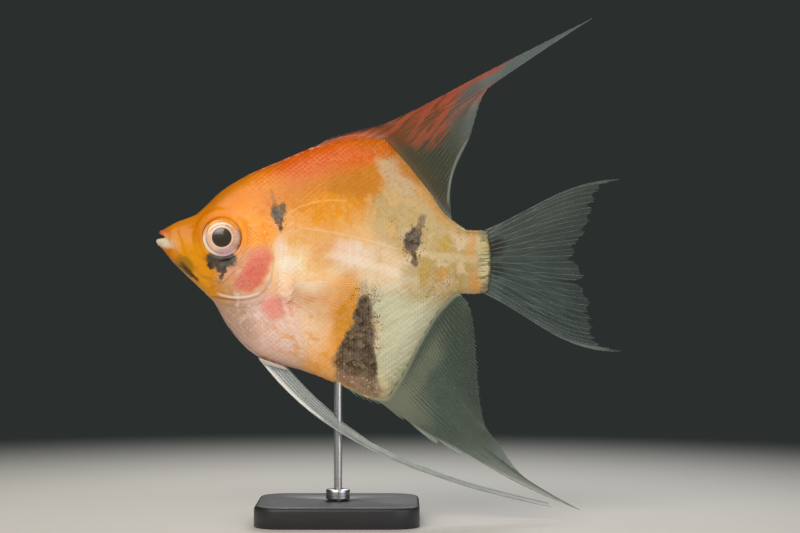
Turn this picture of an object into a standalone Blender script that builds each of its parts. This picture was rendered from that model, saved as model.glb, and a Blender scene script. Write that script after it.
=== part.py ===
"""Freshwater angelfish: a still, life-size display model held by a plain stand.

World frame in metres: +Z up, the fish swims towards -X, its left side faces -Y.
The origin is the centre of the stand base's underside.

The fish is drawn in its own millimetres: x runs back from the tip of the lower
lip, z up from it, y out of the middle plane (the left side is -y). The model is
rigid. The body is one loft, parted by thin cuts into the pieces of a real fish.
"""
import math

import bmesh
import bpy
from mathutils import Vector

MM = 0.001
LIP_HEIGHT = 60.6
LIP_TO_ROD = 39.2
GAP = 0.3

SECTION_STEPS = 14
CUTTER_REACH = 14.0
EYE_X = 14.6
EYE_Z = 0.5
EYE_RADIUS = 4.2
EYE_MID_Y = 4.55
EYE_FRONT_DEPTH = 1.45
EYE_BACK_DEPTH = 2.9
EYE_SIDES = 22

GILL_PLATE_INNER_Y = 3.0
STALK_CUT = 64.45

FIN_EDGE_HALF = 0.27
FIN_ROOT_HALF = 0.6
RAY_RIDGE = 0.07

BASE_LENGTH = 35.0
BASE_WIDTH = 32.0
BASE_THICKNESS = 4.5
BASE_CORNER = 6.0
BASE_BEVEL = 0.8
ROD_RADIUS = 0.9
ROD_HOLE_DEPTH = 3.0
ROD_SOCKET_TOP = -24.0
COLLAR_RADIUS = 2.6
COLLAR_HEIGHT = 2.2
ROUND_SIDES = 24

# Body outline and half width against x, each a smooth line through a few knots.
BACK = ((0.0, 1.3), (0.6, 1.9), (2.6, 2.9), (5.2, 4.2), (8.4, 5.4), (10.6, 7.3),
        (13.8, 10.4), (18.1, 13.2), (26.7, 17.0), (35.3, 20.4), (43.9, 22.1),
        (48.6, 21.9), (51.5, 19.4), (57.9, 11.8), (62.7, 5.2), (67.6, 2.0), (70.7, 2.0))
BELLY = ((0.0, -0.5), (0.9, -1.7), (3.0, -4.1), (9.5, -10.5), (11.8, -12.7),
         (15.9, -19.2), (20.2, -23.9), (24.5, -26.3), (31.0, -27.9), (41.8, -32.0),
         (46.5, -33.9), (48.9, -34.1), (52.2, -30.2), (56.9, -21.5), (61.2, -14.6),
         (65.1, -11.4), (70.7, -11.4))
HALF_WIDTH = ((0.0, 0.9), (0.5, 1.5), (1.5, 2.1), (5.0, 3.2), (9.0, 4.3), (14.2, 5.3),
              (22.0, 6.6), (29.0, 7.0), (36.0, 6.8), (45.0, 5.7), (54.0, 4.2),
              (64.0, 2.6), (70.7, 1.7))
# Above 1 the cross-section is a lens with thin edges, below 1 it is barrel-shaped.
SECTION_POWER = ((0.0, 0.85), (14.0, 0.9), (28.0, 1.05), (45.0, 1.2), (64.0, 1.0),
                 (70.7, 0.85))
STATIONS = (0.0, 0.3, 0.8, 1.5, 2.6, 4.0, 5.6, 7.2, 8.8, 10.0, 11.2, 12.4, 14.0,
            16.0, 18.0, 20.5, 23.0, 26.0, 29.0, 32.0, 35.0, 38.0, 41.0, 43.5, 46.0,
            47.6, 48.8, 50.0, 51.5, 53.0, 54.6, 56.2, 57.8, 59.4, 61.0, 62.4, 63.8,
            65.2, 66.8, 68.6, 70.4)

# Lines of the parting cuts on the side view.
MOUTH_LINE = ((-2.0, 0.82), (2.2, 0.57))
UPPER_LIP_FRONT = 0.55
UPPER_JAW_BACK = ((3.5, 1.7), (3.8, 5.5), (-2.0, 5.5))
LOWER_JAW_BACK = ((3.3, -0.9), (6.9, -4.7), (8.7, -7.4), (8.9, -13.0), (-2.0, -13.0))
GILL_FRONT = ((19.9, 3.0), (18.9, -2.2), (17.3, -6.4), (14.6, -9.2), (11.9, -10.6))
GILL_BACK = ((11.6, -11.9), (15.0, -12.5), (18.4, -12.8), (21.3, -12.3), (23.4, -11.1),
             (24.8, -9.1), (25.5, -6.5), (25.6, -4.2), (25.2, -1.8), (24.3, 0.9), (23.3, 3.2))
NAPE_TOP = (22.9, 30.0)
THROAT_BOTTOM = (11.4, -30.0)

# Fin margins: share of the rays along the fin's base, then x and z of the tip.
# A bow is a ray's sideways bend as a share of its length.
DORSAL_BASE = (34.2, 63.7)
DORSAL_MARGIN = ((0.00, 36.8, 21.6), (0.10, 42.3, 23.2), (0.20, 48.0, 24.6),
                 (0.30, 56.9, 28.6), (0.38, 69.8, 35.5), (0.42, 82.4, 42.0),
                 (0.46, 93.9, 47.8), (0.50, 86.0, 42.6), (0.56, 79.0, 39.2),
                 (0.64, 73.6, 35.2), (0.72, 70.2, 30.6), (0.80, 68.1, 25.8),
                 (0.88, 66.1, 20.0), (0.94, 64.2, 15.9), (1.00, 62.9, 10.5))
ANAL_BASE = (41.0, 65.3)
ANAL_MARGIN = ((0.00, 42.6, -33.2), (0.10, 46.4, -34.7), (0.16, 49.5, -35.6),
               (0.21, 53.4, -38.6), (0.26, 60.2, -43.5), (0.31, 70.0, -47.9), (0.36, 80.5, -53.7),
               (0.41, 91.8, -58.4), (0.46, 83.5, -53.9), (0.52, 78.6, -50.4),
               (0.60, 74.1, -44.4), (0.68, 70.6, -39.2), (0.76, 69.6, -32.5),
               (0.85, 69.0, -24.5), (0.93, 68.4, -17.4), (1.00, 67.0, -13.3))
ANAL_BOW = -0.05
TAIL_BASE = ((0.0, 70.8, 1.8), (1.0, 70.8, -11.2))
TAIL_MARGIN = ((0.00, 99.6, 13.0), (0.04, 96.6, 12.0), (0.10, 95.0, 10.0),
               (0.22, 93.8, 5.4), (0.33, 92.4, 1.2), (0.40, 90.5, -1.0),
               (0.47, 90.3, -4.0), (0.54, 92.3, -7.4), (0.60, 91.8, -9.4),
               (0.68, 93.6, -13.2), (0.80, 94.1, -18.5), (0.90, 94.9, -21.6),
               (0.96, 96.6, -22.9), (1.00, 99.9, -23.9))
TAIL_BOW_TOP = 0.063
TAIL_BOW_BOTTOM = -0.084
PELVIC_LEADING = ((23.1, -26.4), (26.7, -30.6), (31.0, -34.8), (35.3, -38.3),
                  (43.9, -43.8), (52.6, -47.9), (61.2, -51.1), (69.8, -53.8),
                  (83.8, -57.0))
PELVIC_TRAILING = ((28.3, -27.9), (30.4, -30.2), (33.4, -33.4), (36.8, -36.4),
                   (44.2, -42.3), (52.8, -47.0), (61.4, -50.4), (70.0, -53.1),
                   (84.0, -56.4))
PELVIC_ROOT_Y = 1.7
PELVIC_TIP_Y = 3.4
PECTORAL_BASE = ((0.0, 29.0, -9.2), (1.0, 28.8, -12.2))
PECTORAL_MARGIN = ((0.0, 42.6, -8.0), (0.15, 43.1, -9.3), (0.35, 42.4, -11.5),
                   (0.6, 40.4, -13.8), (0.85, 37.0, -15.5), (1.0, 34.4, -15.7))
PECTORAL_ROOT_Y = 7.45
PECTORAL_SPREAD_DEGREES = 22.0


def clear_scene():
    """Remove whatever the file opened with."""
    for old in list(bpy.data.objects):
        bpy.data.objects.remove(old, do_unlink=True)


def place(x, y, z):
    """World position in metres of a point given in the fish's millimetres."""
    return Vector(((x - LIP_TO_ROD) * MM, y * MM, (z + LIP_HEIGHT) * MM))


def curve_value(knots, at):
    """Smooth value at `at` through (position, value) knots, with no overshoot."""
    last = len(knots) - 1
    slopes = [(knots[i + 1][1] - knots[i][1]) / (knots[i + 1][0] - knots[i][0])
              for i in range(last)]
    tangents = [slopes[0]]
    for before, after in zip(slopes, slopes[1:]):
        flat = before * after <= 0.0
        tangents.append(0.0 if flat else 2.0 * before * after / (before + after))
    tangents.append(slopes[-1])
    if at <= knots[0][0]:
        return knots[0][1]
    if at >= knots[last][0]:
        return knots[last][1]
    i = next(n for n in range(last) if at <= knots[n + 1][0])
    span = knots[i + 1][0] - knots[i][0]
    t = (at - knots[i][0]) / span
    rise = knots[i + 1][1] - knots[i][1]
    bend = tangents[i] * span
    turn = tangents[i + 1] * span
    return (knots[i][1] + bend * t + (3 * rise - 2 * bend - turn) * t * t
            + (bend + turn - 2 * rise) * t ** 3)


def path_value(knots, share):
    """The (x, z) point at `share` of a margin given as (share, x, z) knots."""
    x = curve_value([(k[0], k[1]) for k in knots], share)
    z = curve_value([(k[0], k[2]) for k in knots], share)
    return x, z


def outline_point(knots, x, outward):
    """A point GAP outside the body outline, along the outline's own normal."""
    step = 0.2
    rise = curve_value(knots, x + step) - curve_value(knots, x - step)
    normal = Vector((-rise, 2 * step)).normalized() * outward
    return x + normal.x * GAP, curve_value(knots, x) + normal.y * GAP


def outline_stretch(knots, ends, outward, count):
    """`count` points evenly spaced along the body outline between two x places."""
    fine = 240
    points = [outline_point(knots, ends[0] + (ends[1] - ends[0]) * i / fine, outward)
              for i in range(fine + 1)]
    lengths = [0.0]
    for start, end in zip(points, points[1:]):
        lengths.append(lengths[-1] + math.dist(start, end))
    picked = []
    for i in range(count):
        target = lengths[-1] * i / (count - 1)
        place_in = min(range(fine + 1), key=lambda n: abs(lengths[n] - target))
        picked.append(points[place_in])
    return picked


def finish(name, mesh_builder, material):
    """Turn a bmesh into a named, smooth-shaded object with its material."""
    bmesh.ops.recalc_face_normals(mesh_builder, faces=mesh_builder.faces[:])
    mesh = bpy.data.meshes.new(name)
    mesh_builder.to_mesh(mesh)
    mesh_builder.free()
    mesh.shade_smooth()
    mesh.set_sharp_from_angle(angle=math.radians(40))
    mesh.materials.append(material)
    made = bpy.data.objects.new(name, mesh)
    bpy.context.scene.collection.objects.link(made)
    return made


def make_material(name, color, roughness, metallic=0.0):
    """A Principled material of one colour."""
    material = bpy.data.materials.new(name)
    material.use_nodes = True
    shader = material.node_tree.nodes["Principled BSDF"]
    shader.inputs["Base Color"].default_value = (*color, 1.0)
    shader.inputs["Roughness"].default_value = roughness
    shader.inputs["Metallic"].default_value = metallic
    return material


def body_mesh(name, material):
    """The whole body, snout to tail base, as one closed loft of lens sections."""
    builder = bmesh.new()
    rings = []
    for x in STATIONS:
        top = curve_value(BACK, x)
        bottom = curve_value(BELLY, x)
        half_width = curve_value(HALF_WIDTH, x)
        power = curve_value(SECTION_POWER, x)
        ring = []
        for step in range(2 * SECTION_STEPS):
            angle = math.pi * step / SECTION_STEPS
            across = math.sin(angle)
            y = half_width * math.copysign(abs(across) ** power, across)
            z = (top + bottom) / 2 + (top - bottom) / 2 * math.cos(angle)
            if step in (0, SECTION_STEPS):
                y = 0.0
            ring.append(builder.verts.new(place(x, y, z)))
        rings.append(ring)
    count = 2 * SECTION_STEPS
    for front, back in zip(rings, rings[1:]):
        for i in range(count):
            j = (i + 1) % count
            builder.faces.new((front[i], front[j], back[j], back[i]))
    for ring in (rings[0], rings[-1]):
        builder.faces.new(ring)
    return finish(name, builder, material)


def prism(name, outline, y_from=-CUTTER_REACH, y_to=CUTTER_REACH):
    """A hidden cutter: a side-view outline carried straight across the body."""
    builder = bmesh.new()
    near = [builder.verts.new(place(x, y_from, z)) for x, z in outline]
    far = [builder.verts.new(place(x, y_to, z)) for x, z in outline]
    builder.faces.new(near)
    builder.faces.new(far)
    count = len(outline)
    for i in range(count):
        j = (i + 1) % count
        builder.faces.new((near[i], near[j], far[j], far[i]))
    bmesh.ops.recalc_face_normals(builder, faces=builder.faces[:])
    mesh = bpy.data.meshes.new(name)
    builder.to_mesh(mesh)
    builder.free()
    return hide_cutter(bpy.data.objects.new(name, mesh))


def hide_cutter(cutter):
    """Link a cutter so that it shapes others but isn't part of the model."""
    if cutter.name not in bpy.context.scene.collection.objects:
        bpy.context.scene.collection.objects.link(cutter)
    cutter.hide_render = True
    cutter.display_type = "WIRE"
    return cutter


def cut(target, cutter, operation):
    """Add one Boolean step to a piece."""
    step = target.modifiers.new(cutter.name, "BOOLEAN")
    step.operation = operation
    step.solver = "EXACT"
    step.object = cutter


def spread(outline, distance):
    """A closed outline with every side moved out by `distance`."""
    count = len(outline)
    area = sum(outline[i][0] * outline[(i + 1) % count][1]
               - outline[(i + 1) % count][0] * outline[i][1] for i in range(count))
    turn = 1.0 if area > 0 else -1.0
    moved = []
    for i in range(count):
        before = Vector(outline[i]) - Vector(outline[i - 1])
        after = Vector(outline[(i + 1) % count]) - Vector(outline[i])
        first = Vector((before.y, -before.x)).normalized() * turn
        second = Vector((after.y, -after.x)).normalized() * turn
        mitre = (first + second) / max(0.35, 1.0 + first.dot(second))
        moved.append(tuple(Vector(outline[i]) + mitre * distance))
    return moved


def lens_of_revolution(name, side, grow, material):
    """An eyeball about the y axis: a shallow front and a deeper back."""
    builder = bmesh.new()
    rows = []
    steps = 5
    for row in range(-steps, steps + 1):
        angle = math.pi / 2 * row / steps
        depth = EYE_FRONT_DEPTH if row > 0 else EYE_BACK_DEPTH
        y = EYE_MID_Y + (depth + grow) * math.sin(angle)
        radius = (EYE_RADIUS + grow) * math.cos(angle)
        if abs(row) == steps:
            rows.append([builder.verts.new(place(EYE_X, side * y, EYE_Z))])
            continue
        ring = []
        for i in range(EYE_SIDES):
            turn = 2 * math.pi * i / EYE_SIDES
            x = EYE_X + radius * math.cos(turn)
            z = EYE_Z + radius * math.sin(turn)
            ring.append(builder.verts.new(place(x, side * y, z)))
        rows.append(ring)
    for low, high in zip(rows, rows[1:]):
        for i in range(EYE_SIDES):
            j = (i + 1) % EYE_SIDES
            corners = [low[i % len(low)], low[j % len(low)],
                       high[j % len(high)], high[i % len(high)]]
            builder.faces.new(list(dict.fromkeys(corners)))
    return finish(name, builder, material)


def fin_sheet(name, base, margin, half_root, bow, side_place, rows, material):
    """A closed fin: rays from `base` points to `margin` points, ridged along them.

    Every second column is a ray, a little thicker than the web between rays.
    `bow` gives each ray's sideways bend as a share of its length, and `side_place`
    the middle plane's y.
    """
    builder = bmesh.new()
    sheets = {1: [], -1: []}
    last = len(base) - 1
    for column, (root, tip) in enumerate(zip(base, margin)):
        ray = Vector(tip) - Vector(root)
        bend = Vector((-ray.y, ray.x)) * bow(column / last)
        for sheet in (1, -1):
            line = []
            for row in range(rows + 1):
                t = row / rows
                point = Vector(root) + ray * t + bend * 4 * t * (1 - t)
                half = half_root + (FIN_EDGE_HALF - half_root) * t
                half += RAY_RIDGE if column % 2 == 0 else 0.0
                y = side_place(point.x) + sheet * half
                line.append(builder.verts.new(place(point.x, y, point.y)))
            sheets[sheet].append(line)
    for sheet in (1, -1):
        for first, second in zip(sheets[sheet], sheets[sheet][1:]):
            for row in range(rows):
                builder.faces.new((first[row], second[row], second[row + 1], first[row + 1]))
    near, far = sheets[1], sheets[-1]
    for column in range(last):
        for row in (0, rows):
            builder.faces.new((near[column][row], near[column + 1][row],
                               far[column + 1][row], far[column][row]))
    for column in (0, last):
        for row in range(rows):
            builder.faces.new((near[column][row], near[column][row + 1],
                               far[column][row + 1], far[column][row]))
    return finish(name, builder, material)


def ring_profile(name, profile, centre_x, material, sides=ROUND_SIDES):
    """A turned piece about a vertical axis, closed round its own profile."""
    builder = bmesh.new()
    columns = []
    for i in range(sides):
        turn = 2 * math.pi * i / sides
        columns.append([builder.verts.new(Vector((centre_x + radius * math.cos(turn),
                                                  radius * math.sin(turn), height)) * MM)
                        for radius, height in profile])
    count = len(profile)
    for i in range(sides):
        here, there = columns[i], columns[(i + 1) % sides]
        for k in range(count):
            n = (k + 1) % count
            builder.faces.new((here[k], there[k], there[n], here[n]))
    return finish(name, builder, material)


def rod_shape(name, radius, low, high, chamfer, material):
    """An upright round bar on the stand's axis, with chamfered ends."""
    builder = bmesh.new()
    profile = ((radius - chamfer, low), (radius, low + chamfer),
               (radius, high - chamfer), (radius - chamfer, high))
    rings = []
    for ring_radius, height in profile:
        ring = []
        for i in range(ROUND_SIDES):
            turn = 2 * math.pi * (i + 0.5) / ROUND_SIDES
            ring.append(builder.verts.new(Vector((ring_radius * math.cos(turn),
                                                  ring_radius * math.sin(turn), height)) * MM))
        rings.append(ring)
    for low_ring, high_ring in zip(rings, rings[1:]):
        for i in range(ROUND_SIDES):
            j = (i + 1) % ROUND_SIDES
            builder.faces.new((low_ring[i], low_ring[j], high_ring[j], high_ring[i]))
    builder.faces.new(rings[0])
    builder.faces.new(rings[-1])
    return finish(name, builder, material)


def make_body(skin):
    """Head, jaws, gill covers, trunk and tail stalk, parted from one loft."""
    gill_outline = GILL_FRONT + GILL_BACK
    upper_outline = MOUTH_LINE + UPPER_JAW_BACK
    lower_outline = ((MOUTH_LINE[0][0], MOUTH_LINE[0][1] - GAP),
                     (MOUTH_LINE[1][0], MOUTH_LINE[1][1] - GAP)) + LOWER_JAW_BACK
    head_outline = ((-5.0, 30.0), (-5.0, -30.0), THROAT_BOTTOM) + GILL_BACK + (NAPE_TOP,)
    trunk_outline = spread(head_outline, GAP)

    upper_jaw = body_mesh("upper_jaw", skin)
    lip_outline = [(max(x, UPPER_LIP_FRONT), z) for x, z in upper_outline]
    cut(upper_jaw, prism("upper_jaw_region", lip_outline), "INTERSECT")
    lower_jaw = body_mesh("lower_jaw", skin)
    cut(lower_jaw, prism("lower_jaw_region", lower_outline), "INTERSECT")

    head = body_mesh("head", skin)
    cut(head, prism("head_region", head_outline), "INTERSECT")
    cut(head, prism("upper_jaw_room", spread(upper_outline, GAP)), "DIFFERENCE")
    cut(head, prism("lower_jaw_room", spread(lower_outline, GAP)), "DIFFERENCE")
    for side, word in ((-1, "left"), (1, "right")):
        inner, outer = side * GILL_PLATE_INNER_Y, side * CUTTER_REACH
        cover = body_mesh(f"gill_cover_{word}", skin)
        cut(cover, prism(f"gill_region_{word}", gill_outline, inner, outer), "INTERSECT")
        room = prism(f"gill_room_{word}", spread(gill_outline, GAP), inner - side * GAP, outer)
        cut(head, room, "DIFFERENCE")
        socket = lens_of_revolution(f"eye_socket_{word}", side, GAP, skin)
        cut(head, hide_cutter(socket), "DIFFERENCE")

    trunk = body_mesh("trunk", skin)
    cut(trunk, prism("head_side", trunk_outline), "DIFFERENCE")
    cut(trunk, prism("stalk_side", ((STALK_CUT, 30.0), (STALK_CUT, -60.0), (90.0, -60.0),
                                    (90.0, 30.0))), "DIFFERENCE")
    socket = rod_shape("rod_socket", ROD_RADIUS + GAP, LIP_HEIGHT - 50.0,
                       LIP_HEIGHT + ROD_SOCKET_TOP, 0.2, skin)
    cut(trunk, hide_cutter(socket), "DIFFERENCE")
    stalk = body_mesh("tail_stalk", skin)
    front = STALK_CUT + GAP
    cut(stalk, prism("stalk_region", ((front, 30.0), (front, -60.0), (90.0, -60.0),
                                      (90.0, 30.0))), "INTERSECT")


def make_eyes(eye_material):
    """Both eyes, each loose in its socket."""
    for side, word in ((-1, "left"), (1, "right")):
        lens_of_revolution(f"eye_{word}", side, 0.0, eye_material)


def flat_plane(_x):
    """The middle plane of the fish."""
    return 0.0


def no_bow(_share):
    """Rays that run straight."""
    return 0.0


def anal_bow(share):
    """Anal fin rays start steep and bend back, most of all in the fin's middle."""
    return ANAL_BOW * math.sin(math.pi * share)


def tail_bow(share):
    """Tail rays curve outwards, up in the upper lobe and down in the lower one."""
    return TAIL_BOW_TOP + (TAIL_BOW_BOTTOM - TAIL_BOW_TOP) * share


def column_shares(columns):
    """Evenly spaced shares from 0 to 1, one for each column of a fin."""
    return [i / (columns - 1) for i in range(columns)]


def make_middle_fins(fin_material):
    """Dorsal, anal and tail fins, which stand in the middle plane."""
    shares = column_shares(41)
    base = outline_stretch(BACK, DORSAL_BASE, 1.0, len(shares))
    margin = [path_value(DORSAL_MARGIN, share) for share in shares]
    fin_sheet("dorsal_fin", base, margin, FIN_ROOT_HALF, no_bow, flat_plane, 5, fin_material)

    base = outline_stretch(BELLY, ANAL_BASE, -1.0, len(shares))
    margin = [path_value(ANAL_MARGIN, share) for share in shares]
    fin_sheet("anal_fin", base, margin, FIN_ROOT_HALF, anal_bow, flat_plane, 5, fin_material)

    shares = column_shares(31)
    base = [path_value(TAIL_BASE, share) for share in shares]
    margin = [path_value(TAIL_MARGIN, share) for share in shares]
    fin_sheet("tail_fin", base, margin, FIN_ROOT_HALF, tail_bow, flat_plane, 7, fin_material)


def make_paired_fins(fin_material):
    """Pelvic fins with their long trailing rays, and the clear pectoral fins."""
    last = len(PELVIC_LEADING) - 1
    leading = [(i / last, *point) for i, point in enumerate(PELVIC_LEADING)]
    trailing = [(i / last, *point) for i, point in enumerate(PELVIC_TRAILING)]
    along = column_shares(31)
    across = column_shares(17)
    lean = math.tan(math.radians(PECTORAL_SPREAD_DEGREES))
    for side, word in ((-1, "left"), (1, "right")):

        def pelvic_plane(x, side=side):
            """Sideways place of the pelvic fin, wider towards its tip."""
            start, end = PELVIC_LEADING[0][0], PELVIC_TRAILING[-1][0]
            share = min(1.0, max(0.0, (x - start) / (end - start)))
            return side * (PELVIC_ROOT_Y + (PELVIC_TIP_Y - PELVIC_ROOT_Y) * math.sqrt(share))

        fin_sheet(f"pelvic_fin_{word}", [path_value(trailing, share) for share in along],
                  [path_value(leading, share) for share in along], FIN_EDGE_HALF,
                  no_bow, pelvic_plane, 2, fin_material)

        def pectoral_plane(x, side=side):
            """Sideways place of the pectoral fin, which stands off the flank."""
            return side * (PECTORAL_ROOT_Y + max(0.0, x - PECTORAL_BASE[0][1]) * lean)

        fin_sheet(f"pectoral_fin_{word}", [path_value(PECTORAL_BASE, s) for s in across],
                  [path_value(PECTORAL_MARGIN, s) for s in across], FIN_EDGE_HALF,
                  no_bow, pectoral_plane, 4, fin_material)


def make_stand(base_material, rod_material):
    """A flat bevelled base, one upright rod and the collar round its foot."""
    builder = bmesh.new()
    outline = []
    half_x, half_y = BASE_LENGTH / 2 - BASE_CORNER, BASE_WIDTH / 2 - BASE_CORNER
    corner_steps = 6
    for quarter, (sign_x, sign_y) in enumerate(((1, 1), (-1, 1), (-1, -1), (1, -1))):
        for step in range(corner_steps + 1):
            turn = math.pi / 2 * (quarter + step / corner_steps)
            outline.append((sign_x * half_x + BASE_CORNER * math.cos(turn),
                            sign_y * half_y + BASE_CORNER * math.sin(turn)))
    floor = [builder.verts.new(Vector((x, y, 0.0)) * MM) for x, y in outline]
    top = [builder.verts.new(Vector((x, y, BASE_THICKNESS)) * MM) for x, y in outline]
    builder.faces.new(floor)
    builder.faces.new(top)
    for i in range(len(outline)):
        j = (i + 1) % len(outline)
        builder.faces.new((floor[i], floor[j], top[j], top[i]))
    base = finish("stand_base", builder, base_material)
    hole = rod_shape("rod_hole", ROD_RADIUS + GAP, BASE_THICKNESS - ROD_HOLE_DEPTH,
                     BASE_THICKNESS + 5.0, 0.2, base_material)
    bevel = base.modifiers.new("edges", "BEVEL")
    bevel.width = BASE_BEVEL * MM
    bevel.segments = 2
    bevel.limit_method = "ANGLE"
    bevel.angle_limit = math.radians(60)
    cut(base, hide_cutter(hole), "DIFFERENCE")

    rod_low = BASE_THICKNESS - ROD_HOLE_DEPTH + GAP
    rod_high = LIP_HEIGHT + ROD_SOCKET_TOP - GAP
    rod_shape("stand_rod", ROD_RADIUS, rod_low, rod_high, 0.2, rod_material)

    low = BASE_THICKNESS + GAP
    inner = ROD_RADIUS + GAP
    chamfer = 0.4
    ring_profile("stand_collar", ((inner, low), (COLLAR_RADIUS, low),
                                  (COLLAR_RADIUS, low + COLLAR_HEIGHT - chamfer),
                                  (COLLAR_RADIUS - chamfer, low + COLLAR_HEIGHT),
                                  (inner, low + COLLAR_HEIGHT)), 0.0, rod_material)


def main():
    """Build the fish and its stand."""
    clear_scene()
    skin = make_material("fish_skin", (0.85, 0.42, 0.12), 0.38)
    fins = make_material("fin_web", (0.47, 0.52, 0.48), 0.3)
    eyes = make_material("eye_gloss", (0.75, 0.58, 0.45), 0.1)
    paint = make_material("satin_black_paint", (0.02, 0.02, 0.022), 0.4)
    steel = make_material("brushed_steel_rod", (0.56, 0.56, 0.58), 0.3, 1.0)
    make_body(skin)
    make_eyes(eyes)
    make_middle_fins(fins)
    make_paired_fins(fins)
    make_stand(paint, steel)


main()
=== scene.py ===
"""Looks of a freshwater angelfish display model: skin, scales, fins, eyes and stand.

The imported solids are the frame. Every piece is drawn in the fish's own millimetres: x runs
back from the tip of the lower lip, z up from it, and y out of the middle plane, with the
left side at -y. The eyes' solids say where those millimetres lie in the world.
"""

import logging
import math
from dataclasses import dataclass
from enum import Enum
from typing import Callable, Sequence, Union

import bmesh
import bpy
import numpy as np
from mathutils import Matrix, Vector


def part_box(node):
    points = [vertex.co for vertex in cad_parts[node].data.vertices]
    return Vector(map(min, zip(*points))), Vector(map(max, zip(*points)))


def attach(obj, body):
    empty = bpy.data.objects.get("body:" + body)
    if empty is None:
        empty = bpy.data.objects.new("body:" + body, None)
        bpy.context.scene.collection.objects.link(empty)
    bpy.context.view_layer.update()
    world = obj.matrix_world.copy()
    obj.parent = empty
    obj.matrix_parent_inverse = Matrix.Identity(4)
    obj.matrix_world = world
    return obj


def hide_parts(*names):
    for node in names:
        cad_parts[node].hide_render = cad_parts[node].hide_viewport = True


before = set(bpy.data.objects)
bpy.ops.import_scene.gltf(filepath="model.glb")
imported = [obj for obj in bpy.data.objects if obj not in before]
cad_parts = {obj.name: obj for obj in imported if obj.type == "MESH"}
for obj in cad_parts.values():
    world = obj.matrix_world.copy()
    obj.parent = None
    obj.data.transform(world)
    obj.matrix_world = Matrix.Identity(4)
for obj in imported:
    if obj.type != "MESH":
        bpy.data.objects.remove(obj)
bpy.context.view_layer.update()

Array = np.ndarray
Knots = tuple[tuple[float, float], ...]
Margin = tuple[tuple[float, float, float], ...]
Tint = Union[str, float]
Tree = bpy.types.NodeTree
Socket = bpy.types.NodeSocket
Material = bpy.types.Material
Piece = bpy.types.Object

MM = 0.001
BODY = "root"
BAKE_MAP = "OFBake"
LOG = logging.getLogger("angelfish")

EYE_X = 14.6
EYE_Z = 0.5
EYE_RADIUS = 4.2
EYE_MID_Y = 4.55
EYE_FRONT_DEPTH = 1.45
EYE_BACK_DEPTH = 2.9

# The body ends here, and nothing nearer the middle plane than FLANK_Y belongs to an eye.
BODY_END = 70.7
FLANK_Y = 2.5

# The bake map: its bare border, and the room that either side's half has for a piece.
MAP_EDGE, MAP_WIDTH, MAP_HEIGHT = 0.01, 0.98, 0.47
# Millimetres at which the unwrapped skin starts, and its room along the body and round it.
CHART_START, CHART_LENGTH, CHART_GIRTH = -8.0, 84.0, 64.0
# A fin's own chart holds the distance from its root, with this much to the millimetre.
FIN_UNIT = 0.1

GILL_FRONT: Knots = ((19.9, 3.0), (18.9, -2.2), (17.3, -6.4), (14.6, -9.2), (11.9, -10.6))
GILL_BACK: Knots = ((11.6, -11.9), (15.0, -12.5), (18.4, -12.8), (21.3, -12.3), (23.4, -11.1),
                    (24.8, -9.1), (25.5, -6.5), (25.6, -4.2), (25.2, -1.8), (24.3, 0.9), (23.3, 3.2))

# Horizontal line along the flank that the scale rows follow.
AXIS_LINE: Knots = ((14.0, 3.6), (25.0, 3.2), (31.0, 2.6), (40.7, 1.1), (52.6, -2.2),
                    (62.0, -4.2), (72.0, -4.8))


# ---------------- numbers and curves


def linear(tint: str) -> tuple[float, float, float, float]:
    """Turn an sRGB hex colour into linear light.

    Args:
        tint: A colour such as "#e08a35".

    Returns:
        Linear red, green, blue and an alpha of 1.
    """
    channels = [int(tint[i:i + 2], 16) / 255.0 for i in (1, 3, 5)]
    light = [c / 12.92 if c <= 0.04045 else ((c + 0.055) / 1.055) ** 2.4 for c in channels]
    return (light[0], light[1], light[2], 1.0)


def knots_at(knots: Sequence[tuple[float, float]], at: Array) -> Array:
    """Smooth values through (position, value) knots, with no overshoot.

    Args:
        knots: Positions in rising order, each with its value.
        at: Positions to read; beyond the ends the end values hold.

    Returns:
        One value for each position.
    """
    positions, values = np.array(knots, float).T
    spans = np.diff(positions)
    slopes = np.diff(values) / spans
    product = slopes[:-1] * slopes[1:]
    total = slopes[:-1] + slopes[1:]
    inner = np.where(product > 0, 2 * product / np.where(product > 0, total, 1.0), 0.0)
    tangents = np.concatenate(([slopes[0]], inner, [slopes[-1]]))
    at = np.clip(np.asarray(at, float), positions[0], positions[-1])
    i = np.clip(np.searchsorted(positions, at, side="right") - 1, 0, len(spans) - 1)
    t = (at - positions[i]) / spans[i]
    rise = values[i + 1] - values[i]
    bend = tangents[i] * spans[i]
    turn = tangents[i + 1] * spans[i]
    return (values[i] + bend * t + (3 * rise - 2 * bend - turn) * t * t
            + (bend + turn - 2 * rise) * t ** 3)


def path_at(margin: Margin, share: Array) -> Array:
    """Points (x, z) at shares of a line given as (share, x, z) knots."""
    x = knots_at([(k[0], k[1]) for k in margin], share)
    z = knots_at([(k[0], k[2]) for k in margin], share)
    return np.stack((x, z), -1)


def smooth(low: float, high: float, value: Array) -> Array:
    """Rise from 0 at `low` to 1 at `high`, level at both ends."""
    t = np.clip((value - low) / (high - low), 0.0, 1.0)
    return t * t * (3 - 2 * t)


def even_shares(points: Knots) -> Margin:
    """Side-view points as the knots of a line, evenly numbered from 0 to 1."""
    return tuple((i / (len(points) - 1), point[0], point[1]) for i, point in enumerate(points))


def line_through(points: Knots, count: int) -> Array:
    """Evenly numbered points on a smooth line through a few side-view points."""
    return path_at(even_shares(points), np.linspace(0.0, 1.0, count))


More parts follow.
